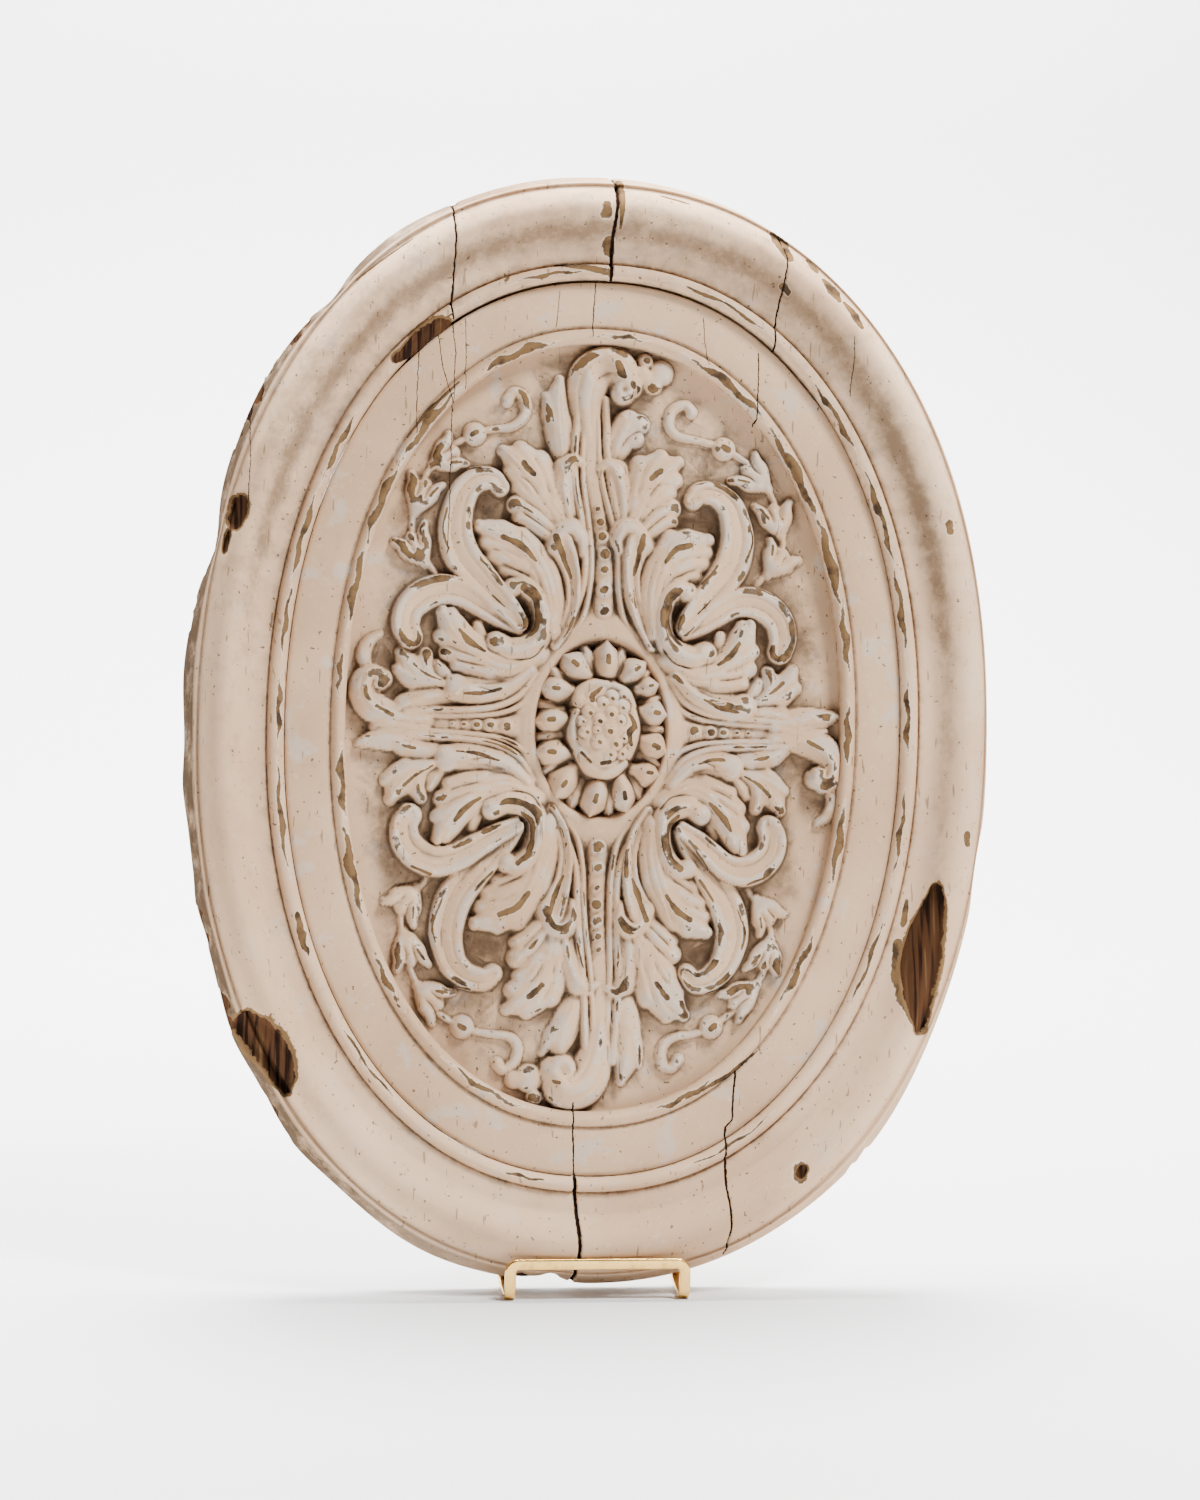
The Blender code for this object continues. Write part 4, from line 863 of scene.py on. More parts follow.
class Chart:
    """A relief worked out once on a square grid, to be read anywhere."""

    def __init__(self, low, high, step, carving):
        across = np.arange(low[0], high[0] + step, step)
        up = np.arange(low[1], high[1] + step, step)
        u, v = np.meshgrid(across, up)
        r = Relief(u.ravel(), v.ravel())
        carving(r)
        self.low = low
        self.step = step
        height = blurred(r.h.reshape(u.shape), 0.4 / step)

        def hollow(reach, full):
            """How far each point lies below those within reach, as a share of full (mm)."""
            return np.clip((blurred(height, reach / step) - height) / full, 0, 1)

        self.fields = {
            "height": height,
            "worn": r.worn.reshape(u.shape),
            "dark": r.dark.reshape(u.shape),
            # narrow hollows get glaze and painted shade, broad hollows grime and painted shade
            "cavity": hollow(1.1, 0.55),
            "grime": hollow(4.5, 3.5),
            # a crest is the contrary: it stands above those round it
            "crest": hollow(3.0, -1.0),
        }

    def read(self, name, points):
        """Values of one field at the points."""
        field = self.fields[name]
        x = np.clip((points[:, 0] - self.low[0]) / self.step, 0, field.shape[1] - 1.001)
        y = np.clip((points[:, 1] - self.low[1]) / self.step, 0, field.shape[0] - 1.001)
        i = x.astype(int)
        j = y.astype(int)
        a = x - i
        b = y - j
        low = field[j, i] * (1 - a) + field[j, i + 1] * a
        high = field[j + 1, i] * (1 - a) + field[j + 1, i + 1] * a
        return low * (1 - b) + high * b


# Rings of the medallion


def spread(count, spots, gain=5.0):
    """Shares of the way round an oval, closer together about the given shares."""
    t = np.linspace(0, 1, 6000, endpoint=False)
    density = np.ones_like(t)
    for spot in spots:
        away = (t - spot + 0.5) % 1 - 0.5
        density += gain * bell(away, 0, 0.006)
    total = np.r_[0, np.cumsum(density)]
    return np.interp(np.linspace(0, total[-1], count, endpoint=False), total[:-1], t)


def oval(size, shares):
    """Points of one oval ring at the given shares of the way round."""
    t = np.linspace(0, 2 * math.pi, 4000, endpoint=False)
    c = np.cos(t)
    s = np.sin(t)
    power = 2 / ROUNDNESS
    ring = np.c_[size[0] * np.sign(c) * np.abs(c) ** power, size[1] * np.sign(s) * np.abs(s) ** power]
    step = np.hypot(*(np.roll(ring, -1, 0) - ring).T)
    walked = np.r_[0, np.cumsum(step)]
    closed = np.vstack([ring, ring[:1]])
    want = np.asarray(shares) * walked[-1]
    return np.c_[np.interp(want, walked, closed[:, 0]), np.interp(want, walked, closed[:, 1])]


def edge_swell(points):
    """How far the worn back edge stands out from the true oval, as a share of its reach."""
    angle = bearing(points)
    change = np.zeros(len(points))
    for middle, width, amount in EDGE_CHANGES:
        away = (angle - middle + 180) % 360 - 180
        change += amount * bell(away, 0, 0.6 * width)
    return (change / np.hypot(*points.T))[:, None]


def share_at(u, v):
    """Share of the way round the outer oval nearest the direction of (u, v)."""
    shares = np.linspace(0, 1, 2000, endpoint=False)
    ring = oval(OUTER, shares)
    turn = np.arctan2(ring[:, 1], ring[:, 0]) - math.atan2(v, u)
    return shares[np.abs((turn + math.pi) % (2 * math.pi) - math.pi).argmin()]


def crack_spots(cracks):
    """Share of the way round at the middle of each crack."""
    return [share_at(*line[len(line) // 2]) for line, _, _ in cracks]


# Meshes


def world_matrix():
    """Lean, roll and place of the medallion on its stand."""
    turn = Euler((-math.radians(LEAN_DEGREES), math.radians(ROLL_DEGREES), 0.0), "YXZ")
    return Matrix.Translation(Vector(MEDALLION_MIDDLE) * MM) @ turn.to_matrix().to_4x4()


def in_front(points):
    """Medallion points (u, v, w) in mm as Blender's x, y, z in metres, with its front at -Y."""
    u, v, w = np.asarray(points, float).T
    return np.c_[u, -w, v] * MM


def add_piece(name, points, faces, paint, marks=None):
    """Mesh object with its marks as point attributes."""
    mesh = bpy.data.meshes.new(name)
    mesh.from_pydata(points.tolist(), [], faces)
    for label, values in (marks or {}).items():
        layer = mesh.attributes.new(label, "FLOAT", "POINT")
        layer.data.foreach_set("value", np.asarray(values, np.float32))
    mesh.materials.append(paint)
    mesh.shade_smooth()
    made = bpy.data.objects.new(name, mesh)
    bpy.context.scene.collection.objects.link(made)
    return made


def band_faces(first, second, sides):
    """Quads between two rings of points that start at the given numbers."""
    pairs = [(i, (i + 1) % sides) for i in range(sides)]
    return [(first + i, first + j, second + j, second + i) for i, j in pairs]


def thinned(points, faces, keep, locked):
    """The surface with about keep triangles left; the first and last locked points stay."""
    mesh = bpy.data.meshes.new("rough")
    mesh.from_pydata(points.tolist(), [], faces)
    rough = bpy.data.objects.new("rough", mesh)
    bpy.context.scene.collection.objects.link(rough)
    group = rough.vertex_groups.new(name="free")
    group.add(list(range(locked, len(points) - locked)), 1.0, "REPLACE")
    change = rough.modifiers.new("thin", "DECIMATE")
    change.ratio = keep / (2 * len(faces))
    change.vertex_group = "free"
    change.vertex_group_factor = 0.0
    change.use_collapse_triangulate = True
    bpy.context.view_layer.update()
    left = rough.evaluated_get(bpy.context.evaluated_depsgraph_get()).to_mesh()
    co = np.zeros(3 * len(left.vertices))
    left.vertices.foreach_get("co", co)
    triangles = [tuple(f.vertices) for f in left.polygons]
    bpy.data.objects.remove(rough, do_unlink=True)
    return co.reshape(-1, 3), triangles


def open_loops(triangles):
    """Ordered loops of the border, each running the way its triangles do."""
    edges = set()
    for a, b, c in triangles:
        edges.update(((a, b), (b, c), (c, a)))
    ahead = {a: b for a, b in edges if (b, a) not in edges}
    loops = []
    while ahead:
        start, here = ahead.popitem()
        loop = [start]
        while here != start:
            loop.append(here)
            here = ahead.pop(here)
        loops.append(loop)
    return loops


def ribbon_marks(points, across, ribbons):
    """How far inside the worn ribbons of a bead each point is: past a half it is worn."""
    angle = bearing(points)
    mark = np.zeros(len(points))
    for start, stop, half, middle in ribbons:
        t = ((angle - start) % 360) / (stop - start)
        wave = 0.85 + 0.2 * np.sin(17 * t + start) + 0.1 * np.sin(43 * t + stop)
        width = 0.75 * half * smooth(t / 0.4) * smooth((1 - t) / 0.4) * wave
        offset = across - middle - 0.12 * np.sin(17 * t + start)
        inside = 0.5 + 1.6 * (width - np.abs(offset))
        mark = np.maximum(mark, np.where(t < 1, np.clip(inside, 0, 1), 0))
    return mark


def tear_marks(points):
    """Bare wood on the torn places of the back edge."""
    angle = bearing(points)
    mark = np.zeros(len(points))
    for start, stop, top in EDGE_TEARS:
        t = (angle - start) / (stop - start)
        inside = smooth(t / 0.2) * smooth((1 - t) / 0.2)
        reach = top * inside * (0.8 + 0.25 * np.sin(13 * t + start) + 0.1 * np.sin(29 * t))
        mark = np.maximum(mark, np.clip((reach - points[:, 2]) / 3 + 0.4, 0, 1) * (inside > 0))
    return mark


def ring_marks(flat, cracks, patches, breaks=()):
    """Depth of cracks and breaks, lost paint and bare wood at points of the rings."""
    r = Relief(flat[:, 0], flat[:, 1])
    depth = np.zeros(len(flat))
    for line, half, deep in cracks:
        which, far, w, _ = r.band(line, half, 3)
        depth[which] = np.maximum(depth[which], deep * bell(far, 0, w))
    for line, half in patches:
        r.wear(line, half)
    lost = r.worn.copy()
    r.worn[:] = 0
    for line, half, deep in breaks:
        before = r.worn.copy()
        r.wear(line, half)
        here = r.worn > before
        depth[here] = np.maximum(depth[here], deep * smooth((r.worn[here] - 0.35) / 0.3))
    return depth, lost, r.worn


def frame_moulding(paint):
    """Oval ring: worn sloping side, roll, cove, groove and bead, round an open middle."""
    shares = spread(1150, crack_spots(FRAME_CRACKS))
    count = len(shares)
    profile = through(MOULDING_PROFILE, 3)
    bead = through(OUTER_BEAD, 4)
    cove = OUTER - COVE_GROOVE
    inward = COVE_GROOVE - JOINT - RING_GAP
    outline = oval(OUTER, shares)
    swell = edge_swell(outline)
    rings = [(oval(JOINT + RING_GAP, shares), 0.0)]
    rings += [(outline * (1 + swell) * share, level) for share, level in BACK_EDGE]
    first_slope = len(rings)
    for share, level in profile:
        fade = max(0.0, 1 - share / 0.15)
        rings.append((oval(OUTER - share * cove, shares) * (1 + fade * swell), level))
    first_bead = len(rings)
    rings += [(oval(COVE_GROOVE - share * inward, shares), level) for share, level in bead]
    points = np.vstack([np.c_[ring, np.full(count, level)] for ring, level in rings])
    flat_u, flat_v, level = points.T.copy()

    # cracks and broken places, which cut into the front and into the side
    number = np.arange(len(points)) // count
    back = number < 2
    outside = ~back & (number < first_slope + len(profile) // 3)
    depth, worn, bare = ring_marks(points[:, :2], FRAME_CRACKS, FRAME_WEAR, FRAME_BREAKS)
    torn = tear_marks(points) * outside
    depth = np.maximum(depth, TEAR_DEPTH * torn) * ~back
    points[:, 2] -= depth * (level > 12)
    outward = points[:, :2] / np.hypot(*points[:, :2].T)[:, None]
    points[:, :2] -= outward * (depth * (level <= 30) * (level > 1))[:, None] * 0.7

    # glaze and painted shade in the grooves and, mostly to the left, in the notch of the side; painted
    # shadow and a stain in the cove; grime and painted shade beside the bead; and rubbed arrises
    groove, ledge, grime, cove_shadow_and_stain, crest = np.zeros((5, len(rings)))
    share = profile[:, 0]
    slope = slice(first_slope, first_bead)
    groove[slope] = 0.7 * smooth((share - 0.95) / 0.05)
    ledge[slope] = bell(share, 0.143, 0.012)
    grime[slope] = 0.35 * smooth((share - 0.88) / 0.12)
    cove_shadow_and_stain[slope] = bell(share, 0.665, 0.12)
    crest[slope] = 0.35 * bell(share, 0.12, 0.015) + 0.3 * (share < 0.01)
    share = bead[:, 0]
    groove[first_bead:] = 0.7 * smooth((0.08 - share) / 0.06) + 0.5 * smooth((share - 0.88) / 0.08)
    grime[first_bead:] = 0.4 * groove[first_bead:]
    across = 2 * np.repeat(share, count) - 1
    streak = np.zeros(len(points))
    streak[first_bead * count :] = ribbon_marks(points[first_bead * count :], across, OUTER_RIBBONS)

    # the top and the left are a little darker, painted shade on the left, and the cove's painted shadow
    # is darkest along the top, with a brown stain towards the right
    soil_and_shade = 0.17 * smooth((outward[:, 1] + 0.2) / 1.1) + 0.1 * np.clip(-outward[:, 0], 0, 1)
    cove_shadow_and_stain_weight = 0.52 * smooth((outward[:, 1] + 0.05) / 0.8) + 0.26 * np.clip(outward[:, 0], 0, 1) ** 2
    to_left = np.clip((90 - flat_u) / 200, 0, 0.6)
    low_side = outside * np.clip((25 - level) / 5, 0, 1)
    marks = {
        "worn": worn * ~back,
        "bare": np.maximum(bare, torn) * ~back,
        "back": back,
        "cavity": np.repeat(groove, count) + np.repeat(ledge, count) * to_left,
        "grime": np.repeat(grime, count) + np.repeat(cove_shadow_and_stain, count) * cove_shadow_and_stain_weight + soil_and_shade,
        "crest": np.repeat(crest, count),
        "streak": streak,
        # soil on the low side, with painted shade that grows to the left
        "side": low_side * (0.25 + 0.75 * np.clip(-flat_u / 150, 0, 1)),
        "plane_u": flat_u,
        "plane_v": flat_v,
    }
    faces = []
    for i in range(len(rings)):
        faces += band_faces(i * count, (i + 1) % len(rings) * count, count)
    made = add_piece("moulding", in_front(points), faces, paint, marks)
    made.data.set_sharp_from_angle(angle=math.radians(70))
    return made


class Shell:
    """Surface grown ring by ring: its points, faces and the marks at each point."""

    def __init__(self, points, faces, marks):
        self.points = [points]
        self.faces = faces
        self.marks = {label: [values] for label, values in marks.items()}
        self.total = len(points)

    def grow(self, loop, ring, **marks):
        """Joins a ring of new points to the loop; marks that aren't given are zero."""
        count = len(loop)
        new = list(range(self.total, self.total + count))
        for i in range(count):
            j = (i + 1) % count
            self.faces.append((loop[j], loop[i], new[i], new[j]))
        self.points.append(ring)
        for label, values in self.marks.items():
            values.append(np.broadcast_to(marks.get(label, 0.0), count))
        self.total += count
        return new

    def close(self, loop):
        """Fills the loop with one face."""
        self.faces.append(tuple(loop[::-1]))


def carved_ground(around, across):
    """Sunk ground with its foliage, between the ground's edge and the pocket, and its chart."""
    low = -GROUND_EDGE - ORNAMENT_SHIFT - 2
    high = GROUND_EDGE - ORNAMENT_SHIFT + 2
    chart = Chart(low, high, 0.6, carve)
    edge = oval(GROUND_EDGE, spread(around, crack_spots(PANEL_CRACKS), 2.5)) - ORNAMENT_SHIFT
    turn = np.arctan2(edge[:, 1] / POCKET[1], edge[:, 0] / POCKET[0])
    hole = np.c_[POCKET[0] * np.cos(turn), POCKET[1] * np.sin(turn)]
    flat = between(hole, edge, np.linspace(0, 1, across)[:, None, None]).reshape(-1, 2)
    height = GROUND_LEVEL + chart.read("height", flat)
    height[-around:] = GROUND_LEVEL
    faces = []
    for i in range(across - 1):
        faces += [f[::-1] for f in band_faces(i * around, (i + 1) * around, around)]
    kept = 180000
    return *thinned(np.c_[flat, height], faces, kept, 2 * around), chart


def panel(paint):
    """Panel with a flat band, a bead, a sunk ground with foliage, and a blind pocket."""
    around, across = ((900, 260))
    ground, triangles, chart = carved_ground(around, across)
    inner_loop, outer_loop = sorted(open_loops(triangles), key=lambda loop: np.ptp(ground[loop][:, 0]))
    marks = {label: chart.read(label, ground) for label in CHART_MARKS}
    marks["streak"] = marks["back"] = np.zeros(len(ground))
    shell = Shell(ground, triangles, marks)

    # outward from the ground: half axes, level, and glaze and painted shade of each ring
    bead = through(INNER_BEAD, 2)
    rings = [(between(GROUND_EDGE, INNER_GROOVE, share), level, groove) for share, level, groove in bead]
    rings += [(between(INNER_GROOVE, JOINT, share), level, groove) for share, level, groove in FLAT_BAND]
    rings.append((JOINT, 0.0, 1.0))
    base = ground[outer_loop][:, :2] + ORNAMENT_SHIFT
    reach = (np.abs(base / GROUND_EDGE) ** ROUNDNESS).sum(1) ** (1 / ROUNDNESS)
    unit = base / reach[:, None] / GROUND_EDGE
    start, stop = JOINT_OPENED_OVER
    opened = smooth((bearing(base) - start) / 8) * smooth((stop - bearing(base)) / 8)
    loop = outer_loop
    for number, (size, level, groove) in enumerate(rings[1:], start=1):
        ring = unit * size
        if size[0] > JOINT[0] - 1:
            ring = ring * (1 + (PANEL_REACH - JOINT_OPENED * opened) / np.hypot(*ring.T))[:, None]
        depth, worn, _ = ring_marks(ring, PANEL_CRACKS, PANEL_WEAR)
        # painted shade round the rim of a dent that isn't carved
        dent = np.hypot((ring[:, 0] - DENT[0]) / DENT[2], (ring[:, 1] - DENT[1]) / DENT[3])
        streak = 0.0
        if number < len(bead):
            streak = ribbon_marks(ring, 2 * number / (len(bead) - 1) - 1, INNER_RIBBONS)
        loop = shell.grow(
            loop,
            np.c_[ring - ORNAMENT_SHIFT, level - depth * (level > 1)],
            worn=worn,
            cavity=np.maximum(groove, 0.9 * bell(dent, 1, 0.35)),
            grime=0.5 * groove,
            streak=streak,
            back=float(level == 0),
        )
    shell.close(loop)

    # down into the pocket, with painted shade that deepens towards its floor
    loop = inner_loop
    for level, inset, dark in POCKET_WALL:
        ring = ground[inner_loop] * (inset, inset, 0.0) + (0.0, 0.0, level)
        loop = shell.grow(loop, ring, dark=dark, grime=1.0, cavity=0.25)
    shell.close(loop)
    points = np.vstack(shell.points)
    points[:, :2] += ORNAMENT_SHIFT
    marks = {label: np.concatenate(values) for label, values in shell.marks.items()}
    marks["plane_u"] = points[:, 0]
    marks["plane_v"] = points[:, 1]
    made = add_piece("carving", in_front(points), shell.faces, paint, marks)
    made.data.set_sharp_from_angle(angle=math.radians(80))
    return made


# Petals of the flower: middle, tip and half width
PETALS = (
    ((2.3, 37.5), (2.3, 51.9), 8.4),
    ((-15.6, 35.5), (-23.5, 42.5), 8.6),
    ((18.2, 34.0), (25.7, 40.0), 7.6),
    ((26.5, 25.0), (33.6, 27.1), 6.4),
    ((30.0, 9.8), (39.0, 9.0), 8.4),
    ((30.0, -9.3), (39.4, -13.4), 8.4),
    ((26.5, -25.0), (35.3, -26.5), 7.4),
    ((13.2, -36.8), (16.3, -49.3), 7.8),
    ((-2.5, -38.6), (-5.6, -52.0), 8.6),
    ((-20.8, -31.5), (-26.5, -42.0), 9.0),
    ((-27.4, -15.0), (-38.9, -15.0), 8.4),
    ((-28.6, 4.0), (-38.9, 3.1), 8.0),
    ((-26.0, 22.0), (-36.0, 22.8), 8.0),
)
# Tips of the second row, between the petals
TIPS = (
    (-9.8, 45.0), (10.9, 44.3), (-28.6, 33.0), (32.5, 18.8), (-34.0, 13.5), (34.8, 0.7), (-34.4, -5.4),
    (33.2, -19.4), (-31.6, -25.0), (23.2, -37.6), (-15.6, -43.5), (6.3, -46.5), (26.5, 33.7),
)
# Beads in the middle of the boss: middle and radius
BOSS_BEADS = (
    (4.4, 18.0, 4.4), (11.9, 19.6, 3.8), (-1.0, 14.2, 4.0), (11.1, 12.6, 4.4), (-8.9, 8.9, 4.4),
    (-3.1, 4.0, 4.2), (3.8, 8.4, 4.4), (-10.4, -2.6, 4.2), (3.0, -1.8, 4.6), (-3.1, -8.4, 4.6),
    (6.9, -9.6, 4.6), (-12.8, 3.6, 3.4), (11.9, -5.8, 3.4), (4.0, -15.8, 4.4), (11.4, -15.0, 3.8),
    (-4.4, -1.6, 2.8), (9.6, 4.2, 3.6),
)
# Long lobes of the boss: line, half widths
BOSS_LOBES = (
    (((2.0, 25.6), (-6.4, 25.2), (-12.6, 20.4), (-12.2, 14.6), (-7.0, 12.2)), (2.6, 3.6, 4.4, 4.6, 3.4)),
    (((-15.4, 9.0), (-17.4, -1.5), (-15.6, -11.0), (-9.5, -16.6)), (2.4, 3.0, 3.0, 2.4)),
    (
        ((-14.4, -14.6), (-8.2, -22.4), (-0.4, -25.8), (7.0, -24.6), (12.4, -20.4)),
        (2.6, 4.0, 4.4, 4.2, 3.0),
    ),
    (((17.0, 10.5), (18.0, 1.6), (17.2, -7.2), (15.0, -15.6)), (2.8, 3.8, 3.6, 2.6)),
    (((6.0, 25.0), (13.2, 21.4), (17.4, 13.6)), (2.4, 3.0, 2.4)),
)
# Oval boss: middle and half axes
BOSS = (1.1, -0.2, 20.4, 28.9)


def boss_height(u, v):
    """Height of the plain oval boss at a point."""
    b = np.hypot((u - BOSS[0]) / BOSS[2], (v - BOSS[1]) / BOSS[3])
    return 30.0 - 11 * b**2.8, b


def carve_flower(r):
    """Second row of tips, ring of petals, then the boss with its lobes and beads."""
    for u, v in FLOWER_GROWN * np.array(TIPS):
        inward = np.array((0.72 * u, 0.72 * v))
        r.open(1.5)
        line = [inward, (0.9 * u, 0.9 * v), (1.03 * u, 1.03 * v)]
        r.stroke(line, [6.5, 6.4, 3.0], [14, 15, 12], "soft", 0.6)
        r.close(0.8)
    for middle, tip, half in PETALS:
        middle = FLOWER_GROWN * np.array(middle)
        out = FLOWER_GROWN * np.array(tip) - middle
        line = [middle - 0.8 * out, middle - 0.1 * out, middle + 0.5 * out, middle + 0.97 * out]
        halves = [0.75 * half, 1.06 * half, 0.86 * half, 1.8]
        r.stroke(line, halves, [19, 23.5, 21.5, 14], "soft", 0.5, 1.4, veins=0)
        r.wear([middle + 0.05 * out, middle + 0.3 * out], 0.24 * half)
    height, b = boss_height(r.u, r.v)
    r.h = np.where(b < 1.0, np.maximum(height, r.h), r.h)
    r.h -= 3.0 * bell(b, 1.04, 0.05)
    for line, half in BOSS_LOBES:
        tops = [float(boss_height(u, v)[0]) + 2.0 for u, v in line]
        r.stroke(line, half, tops, "round", 0.86, 1.2)
    for u, v, radius in BOSS_BEADS:
        r.ball((u, v), radius, float(boss_height(u, v)[0]) + 1.8, 0.88, 1.2)
        r.wear([(u, v - 0.6), (u + 0.5, v - 1.0)], 0.34 * radius)
    r.wear([(-1.5, 24), (-7, 19), (-7.5, 16)], [0.9, 2.2, 2.6])
    r.wear([(15.5, 8), (18.5, 2), (15.0, -3), (17, -10)], [1.6, 2.2, 2.8, 1.2])
    r.wear([(-13, -15.5), (-7, -21)], 1.1)
    r.wear([(-0.5, -21.5), (4, -20.5)], 1.9)


def flower(paint):
    """Flower with a ring of rounded petals, a second ring of tips and an oval boss."""
    around, across = ((640, 135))
    low = (-FLOWER[0] - 4, -FLOWER[1] - 4)
    high = (FLOWER[0] + 4, FLOWER[1] + 4)
    chart = Chart(low, high, 0.3, carve_flower)
    turn = np.linspace(0, 2 * math.pi, around, endpoint=False)
    # how far each direction reaches: out to where the petals and tips fall away
    reach = np.linspace(1.06, 0.8, 80)[:, None]
    limit = 1 / np.hypot(np.cos(turn) / FLOWER[0], np.sin(turn) / FLOWER[1])
    tried = reach * limit
    rim = np.c_[(tried * np.cos(turn)).ravel(), (tried * np.sin(turn)).ravel()]
    solid = chart.read("height", rim).reshape(tried.shape) > 5.0
    radius = tried[solid.argmax(0), np.arange(around)]
    share = np.linspace(0.006, 1, across)[:, None]
    flat = np.c_[(share * radius * np.cos(turn)).ravel(), (share * radius * np.sin(turn)).ravel()]
    height = chart.read("height", flat)
    foot = flat[-around:] * 0.95
    points = np.vstack([np.c_[flat, height], np.c_[foot, np.zeros(around)]])
    points = points + (*ORNAMENT_SHIFT, POCKET_FLOOR + FLOWER_GAP)
    faces = [tuple(range(around))]
    for i in range(across):
        faces += [f[::-1] for f in band_faces(i * around, (i + 1) * around, around)]
    faces.append(tuple(range(across * around, (across + 1) * around))[::-1])
    marks = {"streak": np.zeros(len(points)), "back": np.r_[np.zeros(len(flat)), np.ones(around)]}
    for label in CHART_MARKS:
        # painted shade on the flower's foot
        foot_mark = {"grime": 1.0, "dark": 0.8}.get(label, 0.0)
        marks[label] = np.r_[chart.read(label, flat), np.full(around, foot_mark)]
    marks["crest"] *= 0.6
    return add_piece("flower", in_front(points), faces, paint, marks)


# Stand


def strip(path, across, width=STRIP_WIDTH, thick=STRIP_THICK):
    """Flat bar with rounded corners swept along the path; across is the direction of its width."""
    path = np.array(path, float)
    sides = np.broadcast_to(np.array(across, float), path.shape)
    steps = np.diff(path, axis=0)
    steps = steps / np.linalg.norm(steps, axis=1)[:, None]
    ahead = np.vstack([steps[:1], steps[:-1] + steps[1:], steps[-1:]])
    outline = []
    for a, b, start in ((-1, -1, 180), (1, -1, 270), (1, 1, 0), (-1, 1, 90)):
        middle = (a * (width / 2 - STRIP_CORNER), b * (thick / 2 - STRIP_CORNER))
        outline += arc(middle, STRIP_CORNER, start, start + 90, 5)
    points = []
    for here, side, along_path in zip(path, sides, ahead):
        normal = np.cross(along_path / np.linalg.norm(along_path), side)
        normal = normal / np.linalg.norm(normal)
        for a, b in outline:
            points.append(here + side * a + normal * b)
    count = len(outline)
    last = count * (len(path) - 1)
    faces = [tuple(range(count))[::-1]]
    for first in range(0, last, count):
        faces += band_faces(first, first + count, count)
    faces.append(tuple(range(last, last + count)))
    return points, faces


def arc(middle, radius, start, stop, steps):
    """Points of an arc, angles in degrees."""
    turn = np.radians(np.linspace(start, stop, steps))
    return [(middle[0] + radius * math.cos(t), middle[1] + radius * math.sin(t)) for t in turn]


def edge_height(x):
    """Lowest height of the medallion's back edge over the strip's width at x."""
    outline = oval(OUTER, np.linspace(0, 1, 2000, endpoint=False))
    u, v = (outline * (1 + edge_swell(outline))).T
    roll = math.radians(ROLL_DEGREES)
    across = u * math.cos(roll) + v * math.sin(roll)
    up = v * math.cos(roll) - u * math.sin(roll)
    over = (np.abs(across - x) < STRIP_WIDTH / 2 + 1) & (up < 0)
    return LOWEST_EDGE + (OUTER[1] + up[over].min()) * math.cos(math.radians(LEAN_DEGREES))


def side_strip(side):
    """Middle line of one side, as (y, z): rear upright, arm under the edge, hook and front."""
    lean = math.tan(math.radians(LEAN_DEGREES))
    clear = (STAND_GAP + STRIP_THICK / 2) / math.cos(math.radians(LEAN_DEGREES))
    arm = edge_height(side * LIP_HALF_SPAN) - STAND_GAP - STRIP_THICK / 2
    low = HOOK_RADIUS + STRIP_THICK / 2

    def behind(z):
        return (z - LOWEST_EDGE) * lean + clear

    line = [(LIP_FRONT + STRIP_THICK / 2, LIP_MIDDLE - LIP_CORNER)]
    line += arc((line[0][0] + HOOK_RADIUS, low), HOOK_RADIUS, 180, 300, 14)
    line += [(-9.5, arm - 0.8), (-6.5, arm), (behind(arm) - 3.5, arm)]
    line += [(behind(arm + 1.2) - 0.8, arm + 1.2)]
    line += [(behind(arm + 5), arm + 5), (behind(UPRIGHT_TOP), UPRIGHT_TOP)]
    return line


